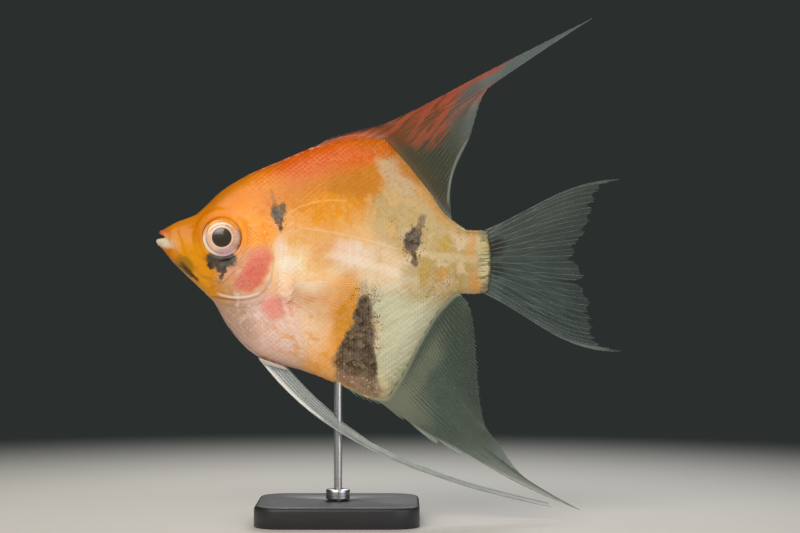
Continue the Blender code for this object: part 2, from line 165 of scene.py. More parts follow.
def distance_to(line: Array, x: Array, z: Array) -> Array:
    """Shortest distance from side-view points to a polyline.

    Args:
        line: Points of the polyline, shape (n, 2).
        x: Places along the body.
        z: Heights.

    Returns:
        One distance for each place.
    """
    best = np.full(x.shape, 1e9)
    for start, end in zip(line, line[1:]):
        run = end - start
        share = ((x - start[0]) * run[0] + (z - start[1]) * run[1]) / max(run @ run, 1e-9)
        share = np.clip(share, 0.0, 1.0)
        gap = np.hypot(x - start[0] - share * run[0], z - start[1] - share * run[1])
        best = np.minimum(best, gap)
    return best


def run_of(steps: Array) -> Array:
    """Distance travelled at each point of a line, from the steps between its points."""
    return np.concatenate(([0.0], np.cumsum(steps)))


def full_turn(count: int) -> Array:
    """Angles of evenly spaced corners round a ring."""
    return 2 * math.pi * np.arange(count) / count


def inside(outline: Array, x: Array, z: Array) -> Array:
    """Find the side-view points that lie inside a closed outline.

    Args:
        outline: Corners of the outline, shape (n, 2).
        x: Places along the body.
        z: Heights.

    Returns:
        True for each place inside.
    """
    found = np.zeros(x.shape, bool)
    for start, end in zip(outline, np.roll(outline, -1, axis=0)):
        crosses = (start[1] > z) != (end[1] > z)
        rise = end[1] - start[1]
        where = start[0] + (z - start[1]) * (end[0] - start[0]) / (rise if rise else 1e-9)
        found ^= crosses & (x < where)
    return found


# ---------------- frame and form


@dataclass(frozen=True)
class FishFrame:
    """Where the fish's own millimetres lie in the world, in millimetres."""

    lip_x: float
    lip_z: float

    @classmethod
    def from_solids(cls) -> "FishFrame":
        """Read the frame from the left eye's solid."""
        low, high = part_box("eye_left")
        return cls((low.x + high.x) / 2 / MM - EYE_X, (low.z + high.z) / 2 / MM - EYE_Z)

    def world(self, points: Array) -> Array:
        """World metres of points given in fish millimetres, shape (n, 3)."""
        return (np.asarray(points, float) + (self.lip_x, 0.0, self.lip_z)) * MM

    @property
    def origin(self) -> tuple[float, float, float]:
        """World place, in metres, of the tip of the lower lip."""
        return (self.lip_x * MM, 0.0, self.lip_z * MM)


@dataclass(frozen=True)
class BodyForm:
    """The body's outline and lens-shaped cross-sections, in fish millimetres.

    Attributes:
        back: Height of the back against x.
        belly: Height of the belly against x.
        half_width: Half of the width against x.
        power: Shape of the cross-section: above 1 its edges are thin.
    """

    back: Knots = ((0.0, 1.3), (0.6, 1.9), (2.6, 2.9), (5.2, 4.2), (8.4, 5.4), (10.6, 7.3), (13.8, 10.4),
                   (18.1, 13.2), (26.7, 17.0), (35.3, 20.4), (43.9, 22.1), (48.6, 21.9), (51.5, 19.4),
                   (57.9, 11.8), (62.7, 5.2), (67.6, 2.0), (BODY_END, 2.0))
    belly: Knots = ((0.0, -0.5), (0.9, -1.7), (3.0, -4.1), (9.5, -10.5), (11.8, -12.7),
                    (15.9, -19.2), (20.2, -23.9), (24.5, -26.3), (31.0, -27.9),
                    (41.8, -32.0), (46.5, -33.9), (48.9, -34.1), (52.2, -30.2),
                    (56.9, -21.5), (61.2, -14.6), (65.1, -11.4), (BODY_END, -11.4))
    half_width: Knots = ((0.0, 0.9), (0.5, 1.5), (1.5, 2.1), (5.0, 3.2), (9.0, 4.3),
                         (14.2, 5.3), (22.0, 6.6), (29.0, 7.0), (36.0, 6.8), (45.0, 5.7),
                         (54.0, 4.2), (64.0, 2.6), (BODY_END, 1.7))
    power: Knots = ((0.0, 0.85), (14.0, 0.9), (28.0, 1.05), (45.0, 1.2), (64.0, 1.0), (BODY_END, 0.85))

    def at(self, x: Array, angle: Array) -> Array:
        """Points on the body at x and an angle round it, 0 at the back and pi at the belly.

        Args:
            x: Places along the body.
            angle: Angles; those between 0 and pi are on the right side.

        Returns:
            Points of shape (..., 3).
        """
        top, bottom = knots_at(self.back, x), knots_at(self.belly, x)
        across = np.sin(angle)
        y = knots_at(self.half_width, x) * np.sign(across)
        y = y * np.abs(across) ** knots_at(self.power, x)
        z = (top + bottom) / 2 + (top - bottom) / 2 * np.cos(angle)
        return np.stack((x + 0 * z, y, z), -1)

    def angle_at(self, x: Array, z: Array) -> Array:
        """Angle from the back down to a height.

        Args:
            x: Places along the body.
            z: Heights.

        Returns:
            Angles between 0 and pi.
        """
        top, bottom = knots_at(self.back, x), knots_at(self.belly, x)
        cosine = (z - (top + bottom) / 2) / ((top - bottom) / 2)
        return np.arccos(np.clip(cosine, -1.0, 1.0))

    def normal(self, x: Array, angle: Array) -> Array:
        """Outward unit normals of the plain body.

        Args:
            x: Places along the body.
            angle: Angles round it.

        Returns:
            Vectors of shape (..., 3).
        """
        step_x, step_angle = 0.05, 0.004
        along = self.at(x + step_x, angle) - self.at(x - step_x, angle)
        round_it = self.at(x, angle + step_angle) - self.at(x, angle - step_angle)
        across = np.cross(along, round_it)
        return across / np.linalg.norm(across, axis=-1, keepdims=True)

    def girth(self, x: Array, angle: Array) -> Array:
        """Distance down the side from the middle of the back.

        Args:
            x: Places along the body.
            angle: Angles to measure down to, up to pi.

        Returns:
            One distance for each place.
        """
        share = np.linspace(0.0, 1.0, 49)
        points = self.at(np.asarray(x)[..., None] + 0 * share, np.asarray(angle)[..., None] * share)
        return np.linalg.norm(np.diff(points, axis=-2), axis=-1).sum(-1)


# ---------------- meshes and nodes


def find_socket(sockets: Sequence[Socket], key: Union[int, str]) -> Socket:
    """One socket by its place, identifier or name."""
    if isinstance(key, int):
        return sockets[key]
    return next((s for s in sockets if s.identifier == key), None) or sockets[key]


def add(tree: Tree, kind: str, wires: dict = {}, out: Union[int, str] = 0, **settings) -> Socket:
    """Add a node, with its settings and links, and hand back one of its outputs.

    Args:
        tree: The node tree.
        kind: The node's type; a shader node's goes without the "ShaderNode" in front.
        wires: Input socket to a value, or to the output socket that feeds it.
        out: Output wanted.
        **settings: The node's own properties.

    Returns:
        The wanted output socket, or the node's first input where it has no output.
    """
    node = tree.nodes.new(kind if "Node" in kind else "ShaderNode" + kind)
    for name, value in settings.items():
        setattr(node, name, value)
    for key, value in wires.items():
        socket = find_socket(node.inputs, key)
        if isinstance(value, bpy.types.NodeSocket):
            tree.links.new(value, socket)
        else:
            socket.default_value = value
    return find_socket(node.outputs, out) if node.outputs else node.inputs[0]


def link_object(name: str, data: bpy.types.ID) -> Piece:
    """Put a mesh, a light or a camera into the scene as an object at the origin."""
    made = bpy.data.objects.new(name, data)
    bpy.context.scene.collection.objects.link(made)
    return made


def new_material(name: str) -> Material:
    """A material with an empty node tree."""
    material = bpy.data.materials.new(name)
    material.use_nodes = True
    material.node_tree.nodes.clear()
    return material


def build_mesh(name: str, points: Array, faces: Sequence[Sequence[int]], material: Material) -> Piece:
    """Make a smooth-shaded object from world points in metres.

    Args:
        name: Name of the piece.
        points: World points in metres.
        faces: Corner numbers of each face.
        material: Its finish.

    Returns:
        The new object, linked to the scene.
    """
    mesh = bpy.data.meshes.new(name)
    mesh.from_pydata([tuple(p) for p in points], [], faces)
    mesh.validate()
    mesh.shade_smooth()
    mesh.materials.append(material)
    return link_object(name, mesh)


def close_fan(builder: bmesh.types.BMesh, ring: list, middle: bmesh.types.BMVert) -> None:
    """Close a ring of corners with triangles to a middle corner."""
    for first, second in zip(ring, ring[1:] + ring[:1]):
        builder.faces.new((first, second, middle))


def drop_attributes(made: Piece, *names: str) -> None:
    """Remove the helper attributes that a finished piece still carries."""
    for name in names:
        if name in made.data.attributes:
            made.data.attributes.remove(made.data.attributes[name])


def face_outwards(made: Piece) -> None:
    """Turn all of a closed piece's faces outwards.

    Args:
        made: The piece.
    """
    builder = bmesh.new()
    builder.from_mesh(made.data)
    bmesh.ops.recalc_face_normals(builder, faces=builder.faces[:])
    builder.to_mesh(made.data)
    builder.free()


def join_body(made: Piece, slot: str, *replaced: str) -> None:
    """Tie a finished piece to the model's body.

    Args:
        made: The piece.
        slot: Its material slot; not used.
        *replaced: The solids that it stands for.
    """
    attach(made, BODY)
    if replaced:
        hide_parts(*replaced)
    LOG.info("%s: %d faces", made.name, len(made.data.polygons))


# ---------------- pigment


class Edge(Enum):
    """How a patch of pigment ends: at an even line, a wavy one or a ragged one."""

    EVEN = "even"
    WAVY = "wavy"
    RAGGED = "ragged"


class Brush:
    """Draws pigment into a material, over the fish's own millimetres seen from the side.

    Both sides carry the same marks. Their wavy and ragged edges come from noise in all
    three directions, so the two sides differ as a real fish's do. Side-view coordinates are
    (x, 1, z): the 1 lets one dot product hold a slanted axis together with its offset.
    """

    def __init__(self, tree: Tree, fish: FishFrame) -> None:
        """Prepare the coordinates.

        Args:
            tree: The material's node tree.
            fish: The fish's frame.
        """
        self.tree = tree
        place = add(tree, "TexCoord", out="Object")
        place = add(tree, "VectorMath", {0: place, 1: fish.origin}, operation="SUBTRACT")
        self.solid = add(tree, "VectorMath", {0: place, "Scale": 1 / MM}, operation="SCALE")
        flat = add(tree, "VectorMath", {0: self.solid, 1: (1.0, 0.0, 1.0), 2: (0.0, 1.0, 0.0)},
                   operation="MULTIPLY_ADD")
        self.coordinates = {Edge.EVEN: flat, Edge.WAVY: self.shaken(flat, 4.5, 3.0, 0.62),
                            Edge.RAGGED: self.shaken(flat, 1.7, 2.3, 0.78)}

    def shaken(self, flat: Socket, period: float, reach: float, roughness: float) -> Socket:
        """Coordinates pushed about by noise.

        Args:
            flat: Side-view coordinates.
            period: Size of the noise's features, in millimetres.
            reach: Furthest push, in millimetres.
            roughness: Strength of the noise's finer octaves.

        Returns:
            The pushed coordinates.
        """
        noise = add(self.tree, "TexNoise", {"Vector": self.solid, "Scale": 1 / period, "Detail": 5.0,
                                            "Roughness": roughness}, out="Color")
        back = add(self.tree, "VectorMath", {0: flat, 1: (-reach / 2, 0.0, -reach / 2)}, operation="ADD")
        return add(self.tree, "VectorMath",
                   {0: noise, 1: (reach, 0.0, reach), 2: back}, operation="MULTIPLY_ADD")

    def ramp(self, value: Socket, start: float, end: float, top: float = 1.0) -> Socket:
        """Map a value smoothly to 0 at `start` and to `top` at `end`."""
        return add(self.tree, "MapRange", {"Value": value, "From Min": start, "From Max": end,
                                           "To Max": top}, interpolation_type="SMOOTHSTEP")

    def times(self, first: Socket, second: Union[Socket, float]) -> Socket:
        """Product of two values."""
        return add(self.tree, "Math", {0: first, 1: second}, operation="MULTIPLY")

    def noise(self, period: float, detail: float = 3.0) -> Socket:
        """Noise between 0 and 1 in the fish's millimetres."""
        return add(self.tree, "TexNoise", {"Vector": self.solid, "Scale": 1 / period, "Detail": detail,
                                           "Roughness": 0.55})

    def mix(self, share: Socket, under: Union[Socket, Tint], over: Union[Socket, Tint]) -> Socket:
        """Blend two colours, or two numbers, by a mask.

        Args:
            share: How much of `over` shows.
            under: A hex colour, a number or a socket.
            over: A hex colour, a number or a socket.

        Returns:
            The blended colour or number.
        """
        numbers = isinstance(over, float)
        kind, letter = ("FLOAT", "Float") if numbers else ("RGBA", "Color")
        wires = {"Factor_Float": share}
        for side, value in (("A", under), ("B", over)):
            wires[f"{side}_{letter}"] = linear(value) if isinstance(value, str) else value
        return add(self.tree, "Mix", wires, out=f"Result_{letter}", data_type=kind)

    def vivid(self, colour: Socket, saturation: float) -> Socket:
        """Strengthen a colour, to make up for the grey sheen of the wet film over it."""
        return add(self.tree, "HueSaturation", {"Color": colour, "Saturation": saturation})

    def paint(self, base: Tint, marks: Sequence["Mark"]) -> Socket:
        """Lay marks over a base, each over the ones before it.

        Args:
            base: A hex colour, a number or a socket.
            marks: The marks, from the lowest to the topmost.

        Returns:
            The painted colour or number.
        """
        colour: Union[Socket, Tint] = base
        for mark in marks:
            colour = self.mix(mark.mask(self), colour, mark.tint)
        return colour


class Mark:
    """Anything that lays one tint through a mask."""

    tint: Tint

    def mask(self, brush: Brush) -> Socket:
        """Draw the mark's mask.

        Args:
            brush: The material's brush.

        Returns:
            The share of the tint that shows.
        """
        raise NotImplementedError


@dataclass(frozen=True)
class Patch(Mark):
    """An ellipse of pigment.

    Attributes:
        x: Centre along the body.
        z: Centre's height.
        long: Half length.
        wide: Half width.
        tint: Its colour, or its value where numbers are painted.
        turn: Degrees that its tail end is lifted.
        soft: Share of its size over which it fades.
        strength: Greatest share of the tint.
        edge: How it ends.
    """

    x: float
    z: float
    long: float
    wide: float
    tint: Tint
    turn: float = 0.0
    soft: float = 0.3
    strength: float = 1.0
    edge: Edge = Edge.WAVY

    def mask(self, brush: Brush) -> Socket:
        """The ellipse's mask."""
        cosine, sine = math.cos(math.radians(self.turn)), math.sin(math.radians(self.turn))
        square: Union[Socket, float] = 0.0
        for x, z, half in ((cosine, sine, self.long), (-sine, cosine, self.wide)):
            axis = (x / half, -(x * self.x + z * self.z) / half, z / half)
            along = add(brush.tree, "VectorMath", {0: brush.coordinates[self.edge], 1: axis}, out="Value",
                        operation="DOT_PRODUCT")
            square = add(brush.tree, "Math", {0: along, 1: along, 2: square}, operation="MULTIPLY_ADD")
        return brush.ramp(square, (1.0 + self.soft) ** 2, (1.0 - self.soft) ** 2, self.strength)


@dataclass(frozen=True)
class Stroke(Mark):
    """A thin curved line of pigment through three side-view points.

    Attributes:
        start: First point.
        middle: A point near its middle.
        end: Last point.
        wide: Half width.
        tint: Its colour or value.
        strength: Greatest share of the tint.
        edge: How its sides run.
    """

    start: tuple[float, float]
    middle: tuple[float, float]
    end: tuple[float, float]
    wide: float
    tint: Tint
    strength: float = 1.0
    edge: Edge = Edge.EVEN

    def circle(self) -> tuple[float, float, float]:
        """Centre and radius of the circle through the three points."""
        rows = [(2 * (p[0] - self.start[0]), 2 * (p[1] - self.start[1])) for p in (self.middle, self.end)]
        squares = [p[0] ** 2 + p[1] ** 2 - self.start[0] ** 2 - self.start[1] ** 2
                   for p in (self.middle, self.end)]
        x, z = np.linalg.solve(np.array(rows), np.array(squares))
        return float(x), float(z), math.dist((x, z), self.start)

    def mask(self, brush: Brush) -> Socket:
        """The line's mask, faded at both ends."""
        x, z, radius = self.circle()
        place = brush.coordinates[self.edge]
        from_centre = add(brush.tree, "VectorMath", {0: place, 1: (x, 1.0, z)},
                          out="Value", operation="DISTANCE")
        off = add(brush.tree, "Math", {0: from_centre, 1: radius}, operation="SUBTRACT")
        off = add(brush.tree, "Math", {0: off}, operation="ABSOLUTE")
        line = brush.ramp(off, self.wide * 1.5, self.wide * 0.4, self.strength)
        middle = ((self.start[0] + self.end[0]) / 2, 1.0, (self.start[1] + self.end[1]) / 2)
        reach = math.dist(self.start, self.end) / 2
        from_middle = add(brush.tree, "VectorMath", {0: place, 1: middle},
                          out="Value", operation="DISTANCE")
        return brush.times(line, brush.ramp(from_middle, reach * 1.08, reach * 0.82))


@dataclass(frozen=True)
class Scatter(Mark):
    """Small shapes inside a region.

    Attributes:
        region: Where they lie and their tint.
    """

    region: Patch

    @property
    def tint(self) -> Tint:
        """The shapes' tint."""
        return self.region.tint


@dataclass(frozen=True)
class Flecks(Scatter):
    """Small round dots.

    Attributes:
        cell: Distance between dots.
        size: Radius of the largest dots as a share of the cell.
    """

    cell: float
    size: float = 0.42

    def mask(self, brush: Brush) -> Socket:
        """The dots' mask."""
        near = add(brush.tree, "TexVoronoi", {"Vector": brush.solid, "Scale": 1 / self.cell})
        worse = add(brush.tree, "Math",
                    {0: near.node.outputs["Color"], 1: 0.45, 2: near}, operation="MULTIPLY_ADD")
        dots = brush.ramp(worse, self.size * 1.2, self.size * 0.8)
        return brush.times(dots, self.region.mask(brush))


@dataclass(frozen=True)
class Streaks(Scatter):
    """Fine parallel streaks.

    Attributes:
        turn: Degrees that the streaks rise towards the tail.
        length: How long a streak is.
        pitch: Distance between streaks.
        density: Share of the surface that they cover, roughly.
    """

    turn: float
    length: float
    pitch: float
    density: float = 0.45

    def mask(self, brush: Brush) -> Socket:
        """The streaks' mask."""
        local = add(brush.tree, "Mapping",
                    {"Vector": brush.solid, "Rotation": (0.0, -math.radians(self.turn), 0.0),
                     "Scale": (self.length, self.pitch * 3, self.pitch)}, vector_type="TEXTURE")
        noise = add(brush.tree, "TexNoise",
                    {"Vector": local, "Scale": 1.0, "Detail": 1.5, "Roughness": 0.5})
        level = 0.62 - 0.25 * self.density
        lines = brush.ramp(noise, level - 0.06, level + 0.08)
        return brush.times(lines, self.region.mask(brush))


@dataclass(frozen=True)
class Clouds(Scatter):
    """Soft irregular clouds.

    Attributes:
        period: Size of a cloud.
        level: Noise above which a cloud starts.
    """

    period: float
    level: float = 0.5

    def mask(self, brush: Brush) -> Socket:
        """The clouds' mask."""
        clouds = brush.ramp(brush.noise(self.period, 4.0), self.level, self.level + 0.14)
        return brush.times(clouds, self.region.mask(brush))


FLANK_TINT = "#efcb9c"
KOI_SATURATION = 1.16

# Pigment of a koi angelfish, from broad washes to small black marks, with some painted highlights and
# painted shade among them.
# A patch's values are x, z, half length, half width and tint, then turn, soft, strength and edge.
KOI_MARKS: tuple[Mark, ...] = (
    Patch(54, -19, 13.5, 13, "#c6c4a4", -35, 0.35),
    Patch(63, -4, 13, 8.5, "#b79e6b", 0, 0.45),
    Patch(54, 9, 13, 9, "#c2aa79", -50, 0.4),
    Patch(34.5, 0.2, 8.5, 4.2, "#efb372", 0, 0.7, 0.75),
    # Painted highlight: a pale whitish patch along the middle of the flank.
    Patch(46.5, -5.5, 10, 4.2, "#ecd3b2", -14, 0.45),
    Patch(26.5, -13, 5, 4.5, "#f8c8b2", 0, 0.7, 0.6),
    Patch(35, -20, 11, 11.5, "#fdbf82", 0, 0.3),
    Patch(31.2, -17.2, 4.8, 6.2, "#ffdcb8", 0, 0.7),
    Patch(41.2, -16.5, 8.6, 2.6, "#e2a258", 84, 0.5),
    Patch(21, -20, 12, 7.5, "#d6b6a9", -50, 0.4),
    Patch(25.5, -19, 4.5, 5, "#ebc6b8", 0, 0.6),
    Patch(30.5, 12, 21, 8.2, "#d98430", 16, 0.22),
    Patch(42.6, 12.4, 6.4, 5.2, "#ca7f28", 62, 0.36),
    Patch(38, 20, 20, 5.2, "#dd6c3b", 13, 0.45),
    Patch(51.9, 14.6, 5.4, 3, "#cdb08a", -56, 0.5),
    Patch(47.4, 20.9, 5.2, 2.2, "#cf6f35", -14, 0.5),
    Patch(18, 6.5, 9.5, 7, "#f09548", 32, 0.5),
    Patch(14.5, 11.8, 8.5, 2.2, "#cc7a22", 40, 0.7),
    Patch(6.5, 0, 8, 5.5, "#da852a", -5, 0.4),
    Patch(10.5, -6.5, 7.5, 3.8, "#e79b2f", -48, 0.4),
    Patch(21, 2, 5, 4.5, "#ffb06c", 0, 0.6),
    Patch(19, -7, 5, 4.2, "#dba483", 0, 0.6),
    Patch(36, 6, 9, 3.6, "#f0a550", 0, 0.5, 0.8),
    Patch(30.5, -6, 6.5, 3.6, "#fde0b6", -6, 0.6),
    Patch(27.6, -5, 4.6, 0.9, "#f8e0c6", 86, 0.6, 0.8),
    # Painted highlight: near-white spots on the flank behind the gill cover, above the pectoral fin.
    Patch(30.8, -5.1, 3.4, 1.2, "#ffe6ba", -8, 0.5),
    Patch(28.8, -5.4, 2.1, 1.4, "#fff8ea", -10, 0.7, 0.75),
    Stroke((32.6, -5.6), (35.2, -7), (37.6, -8.6), 0.5, "#ffd29a", 0.5),
    Patch(30, -13.1, 2.6, 2.6, "#f6c8aa", 0, 0.7, 0.6),
    Patch(28.8, -17, 2.4, 7.5, "#ffe0cc", 0, 0.8, 0.55),
    Patch(36.6, -3.4, 2.2, 3.6, "#e6a25e", -62, 0.7, 0.55),
    Patch(29.5, 4, 3.2, 2.6, "#f8c08c", 0, 0.7, 0.5),
    Patch(28.4, 9, 5, 2.6, "#cb762a", 20, 0.8, 0.4),
    Patch(55.6, -7.8, 2.4, 3.2, "#a58f58", 0, 0.7, 0.55),
    # Painted shade: a darker brown band on the throat below the gill cover.
    Patch(17.4, -15, 6, 2, "#a98468", -55, 0.7, 0.55),
    Patch(42, -3, 2.7, 2.2, "#fae3d6", -20, 0.8, 0.7),
    Patch(26.9, -1.6, 0.7, 1.8, "#f6e6da", 0, 0.8, 0.6),
    Streaks(Patch(37, -6, 12, 13, "#e9a964", 0, 0.4, 0.15), 86, 7, 0.8),
    Streaks(Patch(44, 10, 12, 9, "#b8752a", 0, 0.4, 0.12), 80, 5, 0.9),
    Clouds(Patch(24, -15, 8, 5, "#f8e2dc", -45, 0.6, 0.6), 1.7, 0.5),
    Streaks(Patch(53, -19, 7, 11, "#dcdabd", 0, 0.4, 0.45), 30, 8, 1),
    Clouds(Patch(61, -3, 11, 7, "#e2ccae", 0, 0.5, 0.6), 3.2, 0.5),
    Clouds(Patch(59.5, -3, 11, 9, "#b99b45", 0, 0.4, 0.45), 2.6, 0.54),
    Clouds(Patch(48, 3, 9, 7, "#f3c183", 0, 0.4, 0.5), 3, 0.5),
    Clouds(Patch(36, -20, 11, 10, "#f0a050", 0, 0.4, 0.5), 2.8, 0.52),
    Clouds(Patch(30, 14, 22, 8, "#e07a2c", 16, 0.4, 0.4), 2.6, 0.52),
    Clouds(Patch(8.5, -2, 8, 6, "#d97f22", 0, 0.4, 0.45), 1.8, 0.52),
    # Painted highlight: a ragged pale streak along the middle of the flank towards the tail.
    Stroke((36.5, -3.2), (45, -4.9), (53, -7.7), 0.9, "#ffeeda", 0.4, Edge.RAGGED),
    Patch(22.7, -4.9, 3.3, 2.2, "#ea9480", 74, 0.5),
    Patch(21.4, -7.5, 3.4, 2.2, "#df7e6f", 52, 0.45),
    Patch(19.2, -9.2, 1.9, 1.2, "#db887b", 20, 0.7, 0.85),
    Patch(26.1, -14.4, 2.5, 1.9, "#ef9f94", 0, 0.75, 0.9),
    Stroke((13.4, -11.4), (18.5, -12.3), (23, -11.2), 0.26, "#f8ecda", 0.6),
    Stroke((27.6, -12.6), (29.2, -17.1), (31.3, -22.4), 0.45, "#fcdcc6", 0.6),
    Stroke((31.3, 2.5), (40.9, 1), (52.6, -2.2), 0.22, "#ffdcbb", 0.35),
    Stroke((26, 3.6), (34.5, 8), (41.5, 8.2), 0.22, "#fbd193", 0.35),
    # Painted highlight: a pale ragged streak along the tail stalk's midline.
    Stroke((56, -2.6), (63, -3.7), (69.5, -4.2), 0.9, "#e8d6b2", 0.35, Edge.RAGGED),
    Patch(58, -7.3, 2.3, 1, "#b4932d", 75, 0.6, 0.6),
    Patch(62.1, -0.8, 1.5, 1.1, "#bd9a33", 60, 0.6, 0.6),
    Patch(61.6, -7.4, 1.2, 0.9, "#d39a58", 0, 0.6, 0.6),
    Patch(58.9, 9.5, 6, 1.3, "#dfa566", -56, 0.9, 0.6),
    Patch(54.7, 15.3, 3, 1.5, "#c47c38", -50, 0.8, 0.75),
    Patch(67.9, -1.4, 2, 0.8, "#dc9f68", 76, 0.8, 0.5),
    Patch(69, -9.4, 2.2, 1, "#d89a5c", 100, 0.8, 0.65),
    Patch(71.2, -4.9, 6.4, 1.1, "#b9ab7a", 88, 0.8, 0.5),
    Patch(70, -1, 2, 0.8, "#d0c294", 80, 0.8, 0.7),
    Patch(70.7, -5.6, 1.9, 0.9, "#d9cca4", 80, 0.8, 0.7),
    Patch(71.4, 1.7, 1.5, 1.2, "#6e6c58", 0, 0.7, 0.75),
    Patch(71.8, -10.6, 1.5, 1.8, "#756f58", 0, 0.7, 0.7),
    Streaks(Patch(71.6, -4.9, 6.5, 1.8, "#6b6f48", 88, 0.7), 2, 4, 0.6),
    Stroke((71.6, 1.6), (72.2, -4.9), (71.6, -11.4), 0.4, "#565d49", 0.75, Edge.RAGGED),
    # Painted shade: darker brown along the lower edge of the belly.
    Stroke((21.5, -24.6), (33, -30.6), (46, -34.4), 0.8, "#a8743f", 0.55, Edge.WAVY),
    # The anal fin root's olive tone carried onto the body, darkened as painted shade beside the crease
    # where the fin meets it.
    Stroke((49.5, -34.6), (57.6, -25), (66.2, -13.2), 1.5, "#a3a487", 0.6, Edge.WAVY),
    Streaks(Patch(51.6, -31.4, 5, 2.4, "#96946f", 46, 0.7, 0.45),
            -33, 5, 0.55, 0.55),
    Flecks(Patch(52, 8, 4, 6.5, "#a5762f", 0, 0.4, 0.4), 1.1, 0.38),
    Flecks(Patch(52.5, 14, 6, 2.6, "#b5672f", -50, 0.4, 0.45), 0.8, 0.4),
    Flecks(Patch(65.5, 1.2, 3, 1.2, "#b5532f", 0, 0.4, 0.5), 0.6, 0.45),
    Flecks(Patch(60.5, -10.6, 4.2, 1.4, "#5a4632", 42, 0.5), 0.42, 0.46),
    Patch(1.4, 1.7, 1.5, 0.8, "#cf7b58", 0, 0.4, edge=Edge.EVEN),
    Patch(1.4, -0.5, 2.4, 0.9, "#e6dac4", -14, 0.6, edge=Edge.EVEN),
    Patch(4.1, -1, 2, 0.7, "#e2b088", -62, 0.6, 0.65),
    Patch(6.4, -5.3, 2, 1.5, "#8a6420", -42, 0.5, 0.75, edge=Edge.RAGGED),
    Patch(6.6, -6.3, 2, 0.6, "#4f3f12", -46, 0.35, edge=Edge.RAGGED),
    Patch(8.2, -7.7, 1.4, 0.45, "#4b3a14", -46, 0.35, edge=Edge.RAGGED),
    Patch(14.4, -4.1, 3.4, 1.9, "#1f160d", 0, 0.2, edge=Edge.RAGGED),
    Patch(12.3, -5.3, 1, 0.8, "#3d2c20", 0, 0.3, edge=Edge.RAGGED),
    Patch(14.6, -6.2, 1.2, 1, "#2c1e14", 0, 0.25, edge=Edge.RAGGED),
    Patch(14.5, -7.7, 0.95, 0.45, "#47271a", 85, 0.3, edge=Edge.RAGGED),
    Patch(26.4, 5.3, 2.2, 1.15, "#251204", -70, 0.25, edge=Edge.RAGGED),
    Patch(27.4, 6.5, 1.4, 0.9, "#66492d", 80, 0.35, edge=Edge.RAGGED),
    Patch(27, 2.9, 1.5, 0.55, "#6b4630", -80, 0.3, edge=Edge.RAGGED),
    Patch(25.6, 8.6, 1.9, 0.35, "#8c5d2e", -78, 0.5, 0.5, edge=Edge.RAGGED),
    Patch(55.3, -0.1, 3, 1.7, "#3c2a12", 70, 0.2, edge=Edge.RAGGED),
    Patch(55.7, -4, 1.8, 0.75, "#523c20", -80, 0.25, edge=Edge.RAGGED),
    Patch(57, 3.4, 2.2, 0.8, "#756142", 72, 0.3, 0.85, edge=Edge.RAGGED),
    Patch(44.7, -10.6, 1.9, 0.7, "#b3a08a", 80, 0.6, 0.6, edge=Edge.RAGGED),
    Patch(45, -13.2, 1.6, 1.1, "#634d33", 80, 0.3, edge=Edge.RAGGED),
    Patch(44.6, -16.5, 4.4, 1.9, "#37250f", 84, 0.22, edge=Edge.RAGGED),
    Patch(44.2, -21.6, 4.4, 2.9, "#3c2910", 76, 0.22, edge=Edge.RAGGED),
    Patch(41.2, -23.2, 4.6, 1.6, "#3e2b12", 70, 0.25, edge=Edge.RAGGED),
    Patch(42.6, -26.6, 4.2, 2.9, "#4a351c", -10, 0.3, edge=Edge.RAGGED),
    Stroke((38.6, -28.4), (43.6, -31.2), (49, -33.2), 1.3, "#84695b", 0.8, Edge.RAGGED),
    Patch(45.9, -26.5, 4.6, 1.7, "#3c2910", -82, 0.25, edge=Edge.RAGGED),
    Clouds(Patch(44, -23, 7, 3.6, "#86704f", 80, 0.3, 0.5), 1.3, 0.5),
    Clouds(Patch(44.8, -19.5, 7.5, 1.9, "#2e2217", 82, 0.5, 0.7), 1.7, 0.48),
    Patch(45.6, -30.2, 2.6, 1.6, "#77624c", -30, 0.35, 0.8, edge=Edge.RAGGED),
    Flecks(Patch(40.8, -27.6, 2.6, 2.2, "#c9b49e", 0, 0.4, 0.75), 0.7, 0.34),
    Flecks(Patch(43.8, -30.8, 5.6, 1.7, "#dcc0b4", -28, 0.4, 0.8), 0.6, 0.42),
    Flecks(Patch(46.9, -20, 9, 1.6, "#5d4a35", 87, 0.5), 0.45, 0.52),
    Flecks(Patch(42, -21, 8, 1.3, "#6b5033", 68, 0.5), 0.45, 0.5),
    Flecks(Patch(45.3, -11.8, 2.8, 1.8, "#6b5640", 0, 0.5), 0.42, 0.5),
    Flecks(Patch(55.5, -0.4, 4.2, 2.9, "#5d4a37", 72, 0.3), 0.55, 0.46),
    Flecks(Patch(26.6, 5.6, 3.6, 2, "#6a4c30", -75, 0.3), 0.5, 0.44),
)


class Finish:
    """A material, made once its colours are known."""

    name: str

    def sockets(self, brush: Brush) -> dict:
        """Draw the finish.

        Args:
            brush: The material's brush.

        Returns:
            Values and links for the shader's sockets.
        """
        raise NotImplementedError

    def make(self, fish: FishFrame) -> Material:
        """Build the material.

        Args:
            fish: The fish's frame, for patterns that lie on its body.

        Returns:
            The new material.
        """
        material = new_material(self.name)
        tree = material.node_tree
        shader = add(tree, "BsdfPrincipled", self.sockets(Brush(tree, fish)))
        add(tree, "OutputMaterial", {"Surface": shader})
        return material


def bumped(brush: Brush, height: Socket, depth: float, strength: float = 1.0) -> Socket:
    """A normal pushed by a height between 0 and 1, `depth` millimetres deep."""
    return add(brush.tree, "Bump", {"Height": height, "Distance": depth * MM, "Strength": strength})


